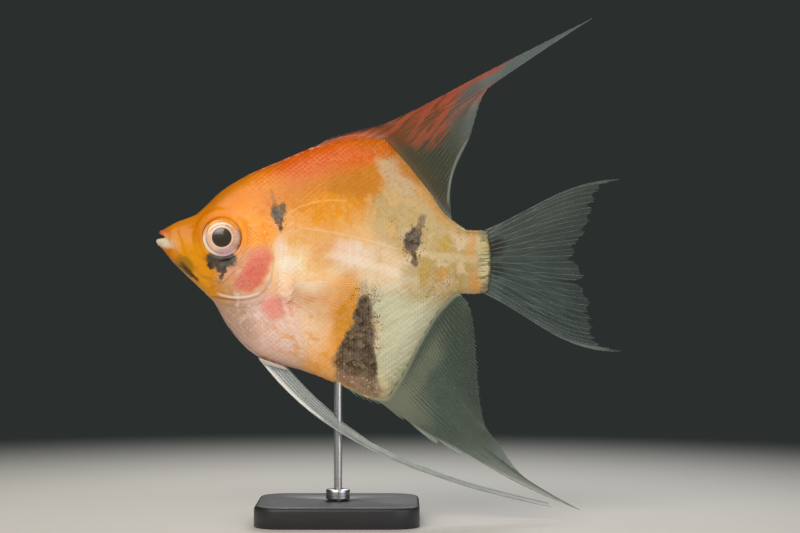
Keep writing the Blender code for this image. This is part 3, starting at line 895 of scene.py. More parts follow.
@dataclass(frozen=True)
class WetSkin(Finish):
    """Live fish skin: pigment under a thin wet film, so colours glow and highlights are soft."""

    name: str = "wet_fish_skin"
    roughness: float = 0.4
    pore_size: float = 0.45
    pore_depth: float = 0.016

    def sockets(self, brush: Brush) -> dict:
        """Markings, fine pores and a wet coat."""
        colour = brush.paint(FLANK_TINT, KOI_MARKS)
        mottle = brush.ramp(brush.noise(2.2, 4.0), 0.35, 0.7, 0.08)
        colour = brush.vivid(brush.mix(mottle, colour, "#fff1dc"), KOI_SATURATION)
        return {"Base Color": colour, "Roughness": self.roughness, "IOR": 1.36,
                "Coat Weight": 0.15, "Coat Roughness": 0.16,
                "Normal": bumped(brush, brush.noise(self.pore_size, 4.0), self.pore_depth)}


@dataclass(frozen=True)
class ScalePearl(Finish):
    """Thin bony scales: the skin's pigment under a pearly plate, with a painted highlight along its free
    edge.
    """

    name: str = "pearly_fish_scale"
    roughness: float = 0.36

    def sockets(self, brush: Brush) -> dict:
        """Markings, a slight change of tone from scale to scale, and a painted highlight along the free
        edge.
        """
        tree = brush.tree
        colour = brush.paint(FLANK_TINT, KOI_MARKS)
        tone = add(tree, "Attribute", out="Fac", attribute_name="scale_tone")
        colour = brush.mix(brush.times(tone, 0.1), colour, "#fff3e0")
        # Painted highlight: each scale is paler towards its free rear edge.
        rear = add(tree, "Attribute", out="Fac", attribute_name="scale_rear")
        colour = brush.mix(brush.ramp(rear, 0.55, 1.0, 0.07), colour, "#fff6e6")
        colour = brush.vivid(colour, KOI_SATURATION)
        return {"Base Color": colour, "Roughness": self.roughness, "IOR": 1.38, "Coat Weight": 0.15,
                "Coat Roughness": 0.14, "Normal": bumped(brush, brush.noise(0.35, 3.0), 0.008)}


@dataclass(frozen=True)
class FinWeb(Finish):
    """The thin wet web between fin rays: nearly clear, dense and coloured at its root.

    Attributes:
        name: The material's name.
        tint: The web's own colour.
        marks: Pigment on it.
        cover: How much of what is behind the open web hides, from 0 to 1.
        veils: Marks that change that cover.
        root_tint: Colour of the fleshy root, or none for the web's own colour.
        root_reach: How far the root's colour reaches, in millimetres.
        margin: Share of the cover that is left at the free margin.
    """

    name: str
    tint: str
    marks: tuple[Mark, ...] = ()
    cover: float = 0.45
    veils: tuple[Mark, ...] = ()
    root_tint: str = ""
    root_reach: float = 3.0
    margin: float = 0.55

    def sockets(self, brush: Brush) -> dict:
        """Colour and cover over the fin."""
        tree = brush.tree
        chart = add(tree, "UVMap", uv_map="FinMap")
        reach = add(tree, "SeparateXYZ", {0: chart}, out="Y")
        share = add(tree, "SeparateXYZ", {0: chart}, out="X")
        root_end = self.root_reach * FIN_UNIT
        root = brush.ramp(reach, root_end, root_end / 5)
        colour = brush.paint(self.tint, self.marks)
        colour = brush.mix(root, colour, self.root_tint or colour)
        cover = brush.paint(self.cover, self.veils)
        thin = add(tree, "MapRange",
                   {"Value": share, "From Min": 0.55, "To Min": 1.0, "To Max": self.margin})
        cover = brush.mix(root, brush.times(thin, cover), 1.0)
        return {"Base Color": colour, "Alpha": cover, "Roughness": 0.3, "IOR": 1.38,
                "Normal": bumped(brush, brush.noise(0.9, 3.0), 0.008)}


@dataclass(frozen=True)
class FinRay(Finish):
    """Jointed bony fin rays: pale and glassy, tinged by the fin's pigment."""

    name: str
    tint: str
    marks: tuple[Mark, ...] = ()
    cover: float = 0.5

    def sockets(self, brush: Brush) -> dict:
        """Colour along the rays, with a faint mottle, glassier in some joints than others."""
        colour = brush.paint(self.tint, self.marks)
        mottle = brush.ramp(brush.noise(3.0), 0.3, 0.8, 1.0)
        colour = brush.mix(brush.times(mottle, 0.12), colour, "#ffffff")
        cover = add(brush.tree, "MapRange",
                    {"Value": mottle, "To Min": self.cover, "To Max": self.cover + 0.2})
        return {"Base Color": colour, "Alpha": cover, "Roughness": 0.36, "IOR": 1.4}


# ---------------- skin


@dataclass(frozen=True)
class Fold:
    """A ridge or groove along a smooth line on the side of the body.

    Attributes:
        points: Side-view points of the line.
        height: Millimetres it stands out; below 0 it is a groove.
        width: Distance over which it fades.
    """

    points: Knots
    height: float
    width: float

    def relief(self, x: Array, z: Array) -> Array:
        """Millimetres that the skin moves out at side-view points.

        Args:
            x: Places along the body.
            z: Heights.

        Returns:
            One distance for each place.
        """
        line = line_through(self.points, 24)
        reach = 3 * self.width
        low, high = line.min(0) - reach, line.max(0) + reach
        near = (x > low[0]) & (x < high[0]) & (z > low[1]) & (z < high[1])
        out = np.zeros(x.shape)
        gap = distance_to(line, x[near], z[near])
        out[near] = self.height * np.exp(-(gap / self.width) ** 2)
        return out


@dataclass(frozen=True)
class HeadRelief:
    """What stands out of the plain body, and how deep the coat of scales is.

    Attributes:
        folds: Ridges and grooves of head, shoulder and flank.
        nostril: Its place in side view.
        nostril_radius: Its radius.
        gill_lift: How far the gill cover's rim stands out.
        gill_run: Distance over which it rises to that.
        gill_drop: Depth of the skin's dip behind the rim.
        orbit_level: Distance of the eyelid from the middle plane.
        orbit_slope: How much of the head's slope the eyelid keeps.
        fin_lobe: Middle of the fleshy lobe of the pectoral fin.
        fin_lobe_size: Its half length and half height.
        fin_lobe_height: How far it stands out.
        coat_depth: How far the skin lies under the solids' surface.
    """

    folds: tuple[Fold, ...] = (
        Fold(((2.9, 0.4), (3.6, -0.8), (4.7, -3.0)), -0.14, 0.3),
        Fold(((3.2, 1.4), (4.3, -0.6), (5.3, -2.9)), 0.12, 0.55),
        Fold(((4.6, 2.0), (5.5, -0.4), (6.4, -3.0)), -0.12, 0.35),
        Fold(((6.4, -4.0), (9.4, -7.4), (12.4, -10.0)), -0.1, 0.4),
        Fold(((18.7, -3.0), (17.3, -6.7), (14.5, -9.2), (10.6, -8.3)), -0.14, 0.4),
        Fold(((17.9, -3.0), (16.5, -6.2), (14.0, -8.4), (11.0, -7.6)), 0.07, 0.5),
        Fold(((11.0, -11.9), (15.0, -13.3), (19.0, -13.7), (23.2, -12.7)), 0.16, 0.5),
        Fold(((11.0, -12.8), (15.0, -14.3), (19.0, -14.7), (23.6, -13.6)), -0.08, 0.4),
        Fold(((27.2, -12.8), (28.8, -17.2), (31.0, -22.4), (31.4, -25.0)), 0.16, 0.7),
        Fold(((24.6, 3.6), (31.0, 2.6), (40.7, 1.1), (52.6, -2.2)), 0.05, 0.5),
        Fold(((9.6, 2.8), (10.6, 5.2), (13.2, 6.4)), 0.08, 0.6),
        Fold(((5.0, 4.6), (9.0, 4.2), (12.0, 7.6)), -0.06, 0.6),
    )
    nostril: tuple[float, float] = (7.9, 2.9)
    nostril_radius: float = 0.36
    gill_lift: float = 0.36
    gill_run: float = 1.6
    gill_drop: float = 0.14
    orbit_level: float = 5.05
    orbit_slope: float = 0.35
    fin_lobe: tuple[float, float] = (28.3, -10.8)
    fin_lobe_size: tuple[float, float] = (1.6, 2.2)
    fin_lobe_height: float = 0.75
    coat_depth: float = 0.13

    def gill_edge(self, x: Array, z: Array) -> Array:
        """The gill cover's rear edge: it lifts towards its rim, and the skin dips behind it.

        Args:
            x: Places along the body.
            z: Heights.

        Returns:
            Millimetres that the skin moves out.
        """
        outline = np.concatenate((line_through(GILL_FRONT, 40), line_through(GILL_BACK, 90)))
        near = (x > 8.0) & (x < 29.0) & (z > -17.0) & (z < 7.0)
        out = np.zeros(x.shape)
        gap = distance_to(line_through(GILL_BACK, 90), x[near], z[near])
        signed = np.where(inside(outline, x[near], z[near]), gap, -gap)
        lifted = self.gill_lift * np.exp(-np.maximum(signed, 0.0) / self.gill_run)
        dropped = -self.gill_drop * np.exp(-np.maximum(-signed, 0.0) / 0.6)
        out[near] = dropped + (lifted - dropped) * smooth(-0.16, 0.16, signed)
        return out * smooth(28.5, 26.0, x)

    def at(self, x: Array, y: Array, z: Array) -> Array:
        """Millimetres that the skin moves out of the plain body.

        Args:
            x: Places along the body.
            y: Distances out from the middle plane, on either side.
            z: Heights.

        Returns:
            One distance for each place, without the coat's depth.
        """
        out = self.gill_edge(x, z)
        for fold in self.folds:
            out += fold.relief(x, z)
        gap = np.hypot(x - self.nostril[0], z - self.nostril[1]) / self.nostril_radius
        out += 0.1 * np.exp(-(gap - 1.6) ** 2 / 0.25) - 0.34 * np.exp(-gap ** 2)
        radius = np.hypot(x - EYE_X, z - EYE_Z)
        level = self.orbit_level + self.orbit_slope * (np.abs(y) - self.orbit_level)
        out += (level - np.abs(y)) * smooth(6.8, 4.6, radius) * (np.abs(y) > FLANK_Y)
        out += 0.1 * np.exp(-((radius - 4.62) / 0.2) ** 2)
        out -= 0.04 * np.exp(-((radius - 5.3) / 0.4) ** 2)
        lobe = np.hypot((x - self.fin_lobe[0]) / self.fin_lobe_size[0],
                        (z - self.fin_lobe[1]) / self.fin_lobe_size[1])
        out += self.fin_lobe_height * np.exp(-lobe ** 4)
        return out * smooth(3.4, 5.2, x)

    def depth(self, x: Array) -> Array:
        """How far the skin lies inside the solids: nothing on the lips, the coat's depth aft."""
        return self.coat_depth * smooth(4.0, 20.0, x)


@dataclass(frozen=True)
class LipRing:
    """One closed line round the mouth, from its top over both corners to its bottom."""

    top: tuple[float, float]
    bottom: tuple[float, float]
    corner: tuple[float, float]
    half_width: float

    def at(self, angle: Array) -> Array:
        """Points round the mouth.

        Args:
            angle: Angles, counted as on the body.

        Returns:
            Points of shape (n, 3).
        """
        reach = np.abs(np.cos(angle))
        upper = (np.cos(angle) > 0)[:, None]
        end = np.where(upper, np.array(self.top), np.array(self.bottom))
        share = np.stack((reach ** 1.5, reach), -1)
        place = np.array(self.corner) + (end - np.array(self.corner)) * share
        y = self.half_width * np.sign(np.sin(angle)) * np.abs(np.sin(angle)) ** 0.85
        return np.stack((place[:, 0], y, place[:, 1]), -1)


@dataclass(frozen=True)
class Skin:
    """The one skin of head and body, from inside the mouth to the tail fin's root.

    Attributes:
        form: The plain body.
        relief: What stands out of it.
        columns: Columns round the body.
        head_step: Distance between rows on the head.
        head_end: Where the head's rows end.
        trunk_rows: Rows from there to the tail fin.
        mouth: Lines round the mouth, from inside it out over the lips.
        mouth_rows: Rows from each of those lines to the next.
        eye_patch: Radius of the round patch that carries the eyelid's rim.
        rim_radii: Rings of that patch, from outside in.
        socket: Radius and distance from the middle plane of the rings behind the eye.
        eye_sides: Corners of the rings of an eye patch.
        lips_end: Where the lips' rows end and the body's start.
        tail_z: Middle height of the body's end.
        tail_half: Half of its height.
    """

    form: BodyForm
    relief: HeadRelief
    columns: int = 320
    head_step: float = 0.2
    head_end: float = 26.0
    trunk_rows: int = 124
    mouth: tuple[LipRing, ...] = (
        LipRing((5.0, 0.35), (5.0, 0.05), (5.0, 0.2), 0.2),
        LipRing((3.2, 0.95), (3.2, 0.0), (3.4, 0.45), 1.1),
        LipRing((1.5, 1.08), (0.9, 0.3), (2.45, 0.55), 1.4),
        LipRing((0.68, 1.4), (0.02, -0.1), (2.05, 0.55), 1.78),
        LipRing((0.9, 2.02), (0.35, -1.05), (2.2, 0.5), 2.0),
        LipRing((1.5, 2.2), (1.15, -1.7), (2.75, 0.45), 2.08),
    )
    mouth_rows: tuple[int, ...] = (3, 4, 5, 5, 4, 6)
    eye_patch: float = 5.6
    rim_radii: tuple[float, ...] = (5.3, 5.1, 4.94, 4.8, 4.68, 4.57, 4.47, 4.38, 4.3)
    socket: Knots = ((4.22, -0.05), (4.14, -0.14), (4.1, -0.34), (4.28, 4.2), (4.0, 3.2),
                     (3.0, 2.2), (1.5, 1.5))
    eye_sides: int = 120
    lips_end: float = 3.5
    tail_z: float = -4.7
    tail_half: float = 6.7

    def body_rows(self) -> Array:
        """Places of the body's rows, behind the lips."""
        head = np.arange(self.lips_end, self.head_end, self.head_step)
        return np.concatenate((head, np.linspace(self.head_end, BODY_END, self.trunk_rows)))

    def covered(self, x: Array, angle: Array) -> Array:
        """Points of the skin.

        Args:
            x: Places along the body.
            angle: Angles round it.

        Returns:
            Points of shape (..., 3), with the relief and the coat's depth.
        """
        plain = self.form.at(x, angle)
        out = self.relief.at(plain[..., 0].ravel(), plain[..., 1].ravel(), plain[..., 2].ravel())
        out = out.reshape(plain.shape[:-1])
        out = out - self.relief.depth(plain[..., 0])
        return plain + self.form.normal(x, angle) * out[..., None]

    def on_side(self, x: Array, z: Array, side: int) -> Array:
        """Points of the skin at side-view places."""
        angle = self.form.angle_at(x, z)
        return self.covered(x, angle if side > 0 else -angle)

    def lip_rows(self, angle: Array) -> Array:
        """Run a smooth surface through the mouth's lines and on to the body.

        Args:
            angle: Angles of the columns.

        Returns:
            Points by row and column, up to the first body row but without it.
        """
        ends = (self.lips_end, self.lips_end + 0.6)
        behind = [self.form.at(np.full(angle.shape, x), angle) for x in ends]
        keys = [ring.at(angle) for ring in self.mouth] + behind
        keys = [keys[0]] + keys
        rows = []
        for i, count in enumerate(self.mouth_rows):
            before, start, end, after = keys[i:i + 4]
            for step in range(count):
                t = step / count
                square = (2 * before - 5 * start + 4 * end - after) * t * t
                cube = (3 * start - before - 3 * end + after) * t ** 3
                rows.append(0.5 * (2 * start + (end - before) * t + square + cube))
        return np.array(rows)

    def tail_rows(self, last: Array) -> Array:
        """Close the body round the tail fin's root.

        Args:
            last: The last body row.

        Returns:
            Points by row and column.
        """
        rows = []
        for t in np.linspace(0.0, 1.0, 9)[1:]:
            row = last.copy()
            bulge = 1.0 - 0.6 * ((last[:, 2] - self.tail_z) / self.tail_half) ** 2
            row[:, 0] += 1.5 * math.sin(t * math.pi / 2) * bulge
            row[:, 1] *= 0.12 + 0.88 * math.cos(t * math.pi / 2) ** 0.8
            row[:, 2] = self.tail_z + (last[:, 2] - self.tail_z) * (1.0 - 0.14 * t * t)
            rows.append(row)
        return np.array(rows)

    def build(self, fish: FishFrame, material: Material) -> Piece:
        """Make the skin.

        Args:
            fish: The fish's frame.
            material: Its finish.

        Returns:
            One closed piece with the bake map.
        """
        angle = full_turn(self.columns)
        body_x = self.body_rows()
        body = self.covered(body_x[:, None], angle[None, :])
        lips = self.lip_rows(angle)
        tail = self.tail_rows(body[-1])
        grid = np.concatenate((lips, body, tail))
        steps = np.linalg.norm(np.diff(grid, axis=0), axis=-1).mean(1)
        travelled = run_of(steps)
        chart_x = travelled - travelled[len(lips)] + self.lips_end
        chart_x[len(lips):len(lips) + len(body)] = body_x
        chart_x[len(lips) + len(body):] = body_x[-1] + np.arange(1, len(tail) + 1) * 0.3
        around = np.linalg.norm(np.diff(grid, axis=1, append=grid[:, :1]), axis=-1)
        half = self.columns // 2
        down = np.concatenate((np.zeros((len(grid), 1)), np.cumsum(around[:, :half], 1)), 1)
        girth = np.concatenate((down, down[:, 1:half][:, ::-1]), 1)
        chart = np.stack((np.repeat(chart_x[:, None], self.columns, 1), girth), -1)
        return self.assemble(fish, material, grid, chart)

    def assemble(self, fish: FishFrame, material: Material, grid: Array, chart: Array) -> Piece:
        """Join the rows, the two ends and both eye patches into one mesh.

        Args:
            fish: The fish's frame.
            material: The skin's finish.
            grid: Points by row and column.
            chart: Place of each on the unwrapped skin, in millimetres.

        Returns:
            The finished piece.
        """
        builder = bmesh.new()
        charts = builder.verts.layers.float_vector.new("chart")
        radius = np.hypot(grid[..., 0] - EYE_X, grid[..., 2] - EYE_Z)
        kept = (radius > self.eye_patch) | (np.abs(grid[..., 1]) < FLANK_Y)

        def corner(point: Array, place: Sequence[float]) -> bmesh.types.BMVert:
            """A corner of the skin with its unwrapped place."""
            made = builder.verts.new(fish.world(point))
            made[charts] = (place[0], place[1], 0.0)
            return made

        rows = [[corner(grid[r, c], chart[r, c]) if kept[r, c] else None
                 for c in range(self.columns)] for r in range(len(grid))]
        for front, back in zip(rows, rows[1:]):
            for c in range(self.columns):
                n = (c + 1) % self.columns
                loop = (front[c], back[c], back[n], front[n])
                if None not in loop:
                    builder.faces.new(loop)
        for row, places, shift in ((rows[0], 0, -0.4), (rows[-1], -1, 0.4)):
            middle = corner(grid[places].mean(0), chart[places].mean(0) + (shift, 0.0))
            close_fan(builder, row, middle)
        for side in (-1, 1):
            self.eye_hole(builder, side, corner)
        bmesh.ops.recalc_face_normals(builder, faces=builder.faces[:])
        mesh = bpy.data.meshes.new("skin")
        builder.to_mesh(mesh)
        builder.free()
        mesh.shade_smooth()
        mesh.materials.append(material)
        self.unwrap(mesh)
        return link_object("skin", mesh)

    def eye_hole(self, builder: bmesh.types.BMesh, side: int, corner: Callable) -> None:
        """Fill one eye's gap with a rimmed patch and a closed socket behind the eye.

        Args:
            builder: The mesh being made.
            side: -1 for the left eye and 1 for the right one.
            corner: Makes a corner from a point and its unwrapped place.
        """
        open_edges = [e for e in builder.edges if e.is_boundary and e.verts[0].co.y * side > 0]
        turn = full_turn(self.eye_sides)

        def ring(radius: float, chart_radius: float, lift: float = 0.0) -> list:
            """Corners of a ring that lies on the skin, moved out by `lift`."""
            x, z = EYE_X + radius * np.cos(turn), EYE_Z + radius * np.sin(turn)
            points = self.on_side(x, z, side)
            points[:, 1] += side * lift
            return circle(points, chart_radius)

        def circle(points: Array, chart_radius: float) -> list:
            """Corners of a ring at given points, unwrapped to a circle."""
            x = EYE_X + chart_radius * np.cos(turn)
            z = EYE_Z + chart_radius * np.sin(turn)
            down = self.form.girth(x, self.form.angle_at(x, z))
            return [corner(p, (a, b)) for p, a, b in zip(points, x, down)]

        rings = [ring(r, r) for r in self.rim_radii]
        inner = self.rim_radii[-1]
        for i, (radius, level) in enumerate(self.socket):
            chart_radius = inner * (1.0 - (i + 1) / (len(self.socket) + 1))
            if level < 0:
                rings.append(ring(radius, chart_radius, level))
                continue
            points = np.stack((EYE_X + radius * np.cos(turn), side * level + 0 * turn,
                               EYE_Z + radius * np.sin(turn)), -1)
            rings.append(circle(points, chart_radius))
        count = self.eye_sides
        outer_edges = [builder.edges.new((rings[0][i], rings[0][(i + 1) % count])) for i in range(count)]
        bmesh.ops.triangle_fill(builder, use_beauty=True, edges=open_edges + outer_edges,
                                normal=(0.0, side, 0.0))
        for outer, deeper in zip(rings, rings[1:]):
            for i in range(count):
                n = (i + 1) % count
                builder.faces.new((outer[i], outer[n], deeper[n], deeper[i]))
        depth = side * (self.socket[-1][1] - 0.1)
        down = self.form.girth(np.array([EYE_X]), self.form.angle_at(np.array([EYE_X]), EYE_Z))
        middle = corner(np.array((EYE_X, depth, EYE_Z)), (EYE_X, float(down[0])))
        close_fan(builder, rings[-1], middle)

    def unwrap(self, mesh: bpy.types.Mesh) -> None:
        """Lay the two sides on the bake map, the left one below the right one.

        Args:
            mesh: The finished skin, with its unwrapped places in an attribute.
        """
        charts = np.zeros(len(mesh.vertices) * 3, np.float32)
        mesh.attributes["chart"].data.foreach_get("vector", charts)
        charts = charts.reshape(-1, 3)[:, :2]
        corners = np.zeros(len(mesh.loops), np.int32)
        mesh.loops.foreach_get("vertex_index", corners)
        middles = np.zeros(len(mesh.polygons) * 3, np.float32)
        mesh.polygons.foreach_get("center", middles)
        totals = np.zeros(len(mesh.polygons), np.int32)
        mesh.polygons.foreach_get("loop_total", totals)
        right = np.repeat(middles.reshape(-1, 3)[:, 1] > 0, totals)
        places = chart_to_map(charts[corners], right)
        layer = mesh.uv_layers.new(name=BAKE_MAP)
        layer.uv.foreach_set("vector", places.astype(np.float32).ravel())
        mesh.attributes.remove(mesh.attributes["chart"])


def chart_to_map(chart: Array, right: Array) -> Array:
    """Places on the bake map of unwrapped skin places in millimetres.

    Args:
        chart: Distance along the body and down its side, shape (n, 2).
        right: True where the place is on the right side.

    Returns:
        Map places between 0 and 1, shape (n, 2).
    """
    across = MAP_EDGE + MAP_WIDTH * (chart[:, 0] - CHART_START) / CHART_LENGTH
    up = MAP_EDGE + MAP_HEIGHT * chart[:, 1] / CHART_GIRTH + np.where(right, 0.5, 0.0)
    return np.stack((across, up), -1)


# ---------------- scales


@dataclass(frozen=True)
class NodeTool:
    """A small Geometry Nodes tree with named inputs, applied once and turned to a plain mesh."""

    name: str
    inputs: tuple[tuple[str, str], ...]
    body: Callable[[Tree, dict], Socket]

    def apply(self, source: Piece, values: dict, name: str) -> Piece:
        """Run the tree on an object.

        Args:
            source: Object whose mesh feeds the tree; it is removed afterwards.
            values: Value of each named input.
            name: Name of the piece that results.

        Returns:
            A plain object without modifiers.
        """
        tree = bpy.data.node_groups.new(self.name, "GeometryNodeTree")
        tree.interface.new_socket("Geometry", in_out="INPUT", socket_type="NodeSocketGeometry")
        for label, kind in self.inputs:
            tree.interface.new_socket(label, in_out="INPUT", socket_type=kind)
        tree.interface.new_socket("Geometry", in_out="OUTPUT", socket_type="NodeSocketGeometry")
        entry = tree.nodes.new("NodeGroupInput")
        given = {s.name: s for s in entry.outputs if s.name}
        result = self.body(tree, given)
        add(tree, "NodeGroupOutput", {"Geometry": result})
        modifier = source.modifiers.new(self.name, "NODES")
        modifier.node_group = tree
        for item in tree.interface.items_tree:
            if item.in_out == "INPUT" and item.name in values:
                modifier[item.identifier] = values[item.name]
        evaluated = source.evaluated_get(bpy.context.evaluated_depsgraph_get())
        mesh = bpy.data.meshes.new_from_object(evaluated)
        mesh.name = name
        bpy.data.objects.remove(source)
        return link_object(name, mesh)


def read_named(tree: Tree, name: str, kind: str) -> Socket:
    """A named attribute of the geometry."""
    return add(tree, "GeometryNodeInputNamedAttribute", {"Name": name}, data_type=kind)


def scale_tree(tree: Tree, given: dict) -> Socket:
    """Lay one plate on each root, tilted along its lie, with its patch on the bake map.

    Args:
        tree: The node tree to fill.
        given: Its inputs by name.

    Returns:
        The geometry of all scales.
    """
    plate = add(tree, "GeometryNodeObjectInfo", {"Object": given["Plate"]}, out="Geometry")
    lie = add(tree, "FunctionNodeAxesToRotation",
              {"Primary Axis": read_named(tree, "outward", "FLOAT_VECTOR"),
               "Secondary Axis": read_named(tree, "lie", "FLOAT_VECTOR")},
              primary_axis="Z", secondary_axis="X")
    shake = add(tree, "FunctionNodeRandomValue", {"Min": (-0.03, -0.03, -0.06), "Max": (0.03, 0.03, 0.06),
                                                  "Seed": given["Seed"]}, data_type="FLOAT_VECTOR")
    tilt = add(tree, "CombineXYZ", {"Y": given["Tilt"]})
    turn = add(tree, "VectorMath", {0: shake, 1: tilt}, operation="ADD")
    turned = add(tree, "FunctionNodeRotateRotation", {"Rotation": lie, "Rotate By": turn},
                 rotation_space="LOCAL")
    size = read_named(tree, "size", "FLOAT")
    placed = add(tree, "GeometryNodeInstanceOnPoints", {"Points": given["Geometry"], "Instance": plate,
                                                        "Rotation": turned, "Scale": size})
    tone = add(tree, "FunctionNodeRandomValue", {"Seed": given["Seed"]}, out="Value_001",
               data_type="FLOAT")
    toned = add(tree, "GeometryNodeStoreNamedAttribute",
                {"Geometry": placed, "Name": "scale_tone", "Value": tone},
                data_type="FLOAT", domain="INSTANCE")
    real = add(tree, "GeometryNodeRealizeInstances", {"Geometry": toned})
    spot = add(tree, "VectorMath", {0: read_named(tree, "plate_uv", "FLOAT_VECTOR"),
                                    "Scale": given["Patch"]}, operation="SCALE")
    spot = add(tree, "VectorMath",
               {0: spot, 1: read_named(tree, "root_uv", "FLOAT_VECTOR")}, operation="ADD")
    mapped = add(tree, "GeometryNodeStoreNamedAttribute",
                 {"Geometry": real, "Name": BAKE_MAP, "Value": spot}, data_type="FLOAT2", domain="CORNER")
    even = add(tree, "GeometryNodeSetShadeSmooth", {"Geometry": mapped})
    return add(tree, "GeometryNodeSetMaterial", {"Geometry": even, "Material": given["Finish"]})


@dataclass(frozen=True)
class ScaleBed:
    """A field of scales of one size, in staggered rows along the body's axis line.

    Attributes:
        pitch: Distance between rows and between scales.
        outline: Side-view region that the bed fills.
        eye_gap: Radius round the eye that stays bare.
    """

    pitch: float
    outline: Knots
    eye_gap: float


@dataclass(frozen=True)
class ScaleCoat:
    """All the scales of the body, cheeks and gill covers.

    Attributes:
        skin: The skin that they grow from.
        beds: Fields of scales.
        tilt: Degrees that a free edge is raised.
        lift: Millimetres that a plate's middle lies over the skin.
        fade: Millimetres over which scales grow from a bed's edge inwards.
        patch: Width of a scale's patch on the bake map.
        seed: Seed of the small irregularities.
        start: Where the first row of scales may stand.
        end: Where the last one may.
        squeeze: Distance between the scales of a row, as a share of the bed's pitch.
        step: Millimetres further aft where a scale's lie is read.
    """

    skin: Skin
    beds: tuple[ScaleBed, ...] = (
        ScaleBed(1.24, ((16.4, 16.0), (18.6, 9.4), (21.2, 5.4), (24.5, 2.4), (25.8, -1.8),
                        (26.2, -4.2), (26.1, -6.5), (25.3, -9.3), (23.9, -11.5), (21.4, -13.0),
                        (18.0, -13.9), (12.0, -13.6), (12.0, -40.0), (71.2, -40.0),
                        (71.2, 40.0), (16.4, 40.0)), 6.6),
        ScaleBed(0.92, ((18.4, 8.8), (20.8, 5.0), (23.9, 2.2), (24.9, -1.8), (25.0, -4.4),
                        (24.7, -7.0), (23.8, -9.2), (21.6, -11.2), (17.0, -11.6),
                        (12.2, -10.8), (11.2, -9.4), (12.4, -6.6), (14.6, -5.9),
                        (19.0, -3.6), (20.4, 1.6)), 5.9),
    )
    tilt: float = 2.6
    lift: float = 0.02
    fade: float = 3.2
    patch: float = 0.003
    seed: int = 7
    start: float = 10.0
    end: float = 71.3
    squeeze: float = 0.94
    step: float = 0.3

    def plate(self) -> Piece:
        """One scale of unit pitch: a thin domed plate, round behind and sunk in front."""
        corners, rear, front, half = 10, 0.84, 0.7, 0.7
        builder = bmesh.new()
        local = builder.loops.layers.uv.new("plate_uv")
        along = builder.verts.layers.float.new("scale_rear")

        def ring(share: float, height: float) -> list:
            """Corners of the plate's outline, drawn in to a share of its size."""
            made = []
            for i in range(corners):
                turn = 2 * math.pi * i / corners
                x = math.cos(turn) * (rear if math.cos(turn) > 0 else front) * share
                y = math.sin(turn) * half * share
                dome = 0.06 * (1.0 - (y / half) ** 2 * 1.1 - 0.25 * (x / rear) ** 2)
                corner = builder.verts.new((x, y, dome + height))
                # Share towards the free rear edge, which the scale finish uses for its painted highlight.
                corner[along] = min(1.0, max(0.0, share * (0.5 + 0.5 * math.cos(turn))))
                made.append(corner)
            return made

        rim, shoulder = ring(1.0, 0.0), ring(0.92, 0.014)
        top = builder.verts.new((0.05, 0.0, 0.08))
        below = builder.verts.new((0.0, 0.0, 0.0))
        for i in range(corners):
            n = (i + 1) % corners
            builder.faces.new((rim[i], rim[n], shoulder[n], shoulder[i]))
            builder.faces.new((shoulder[i], shoulder[n], top))
            builder.faces.new((rim[n], rim[i], below))
            builder.edges.get((rim[i], rim[n])).smooth = False
        for face in builder.faces:
            for loop in face.loops:
                loop[local].uv = (loop.vert.co.x * 0.6, loop.vert.co.y * 0.6)
        mesh = bpy.data.meshes.new("scale_plate")
        builder.to_mesh(mesh)
        builder.free()
        return link_object("scale_plate", mesh)

    def row_angle(self, x: float, offsets: Array) -> tuple[Array, Array]:
        """Angles round the body at distances from the axis line.

        Args:
            x: Place along the body.
            offsets: Distances down the side from the axis line; above it they are negative.

        Returns:
            The angles, and whether each lies on the side at all.
        """
        turns = np.linspace(0.0, math.pi, 181)
        points = self.skin.form.at(np.full(turns.shape, x), turns)
        down = run_of(np.linalg.norm(np.diff(points, axis=0), axis=-1))
        middle = np.interp(-float(knots_at(AXIS_LINE, x)), -points[:, 2], down)
        wanted = middle + offsets
        held = (wanted > 0.3) & (wanted < down[-1] - 0.3)
        return np.interp(wanted, down, turns), held

    def roots(self, bed: ScaleBed) -> tuple[Array, Array, Array]:
        """Places of one bed's scales on a side.

        Args:
            bed: The bed.

        Returns:
            Place along the body, angle round it, and the angle a little further aft.
        """
        outline = np.array(bed.outline)
        found = []
        for i, x in enumerate(np.arange(self.start, self.end, bed.pitch / 2)):
            rows = (np.arange(-60, 61) + 0.5 * (i % 2)) * bed.pitch * self.squeeze
            angle, held = self.row_angle(x, rows)
            aft, _ = self.row_angle(x + self.step, rows)
            z = self.skin.form.at(np.full(angle.shape, x), angle)[:, 2]
            held &= inside(outline, np.full(z.shape, x), z)
            held &= np.hypot(x - EYE_X, z - EYE_Z) > bed.eye_gap
            found.append(np.stack((np.full(held.sum(), x), angle[held], aft[held]), -1))
        joined = np.concatenate(found)
        return joined[:, 0], joined[:, 1], joined[:, 2]

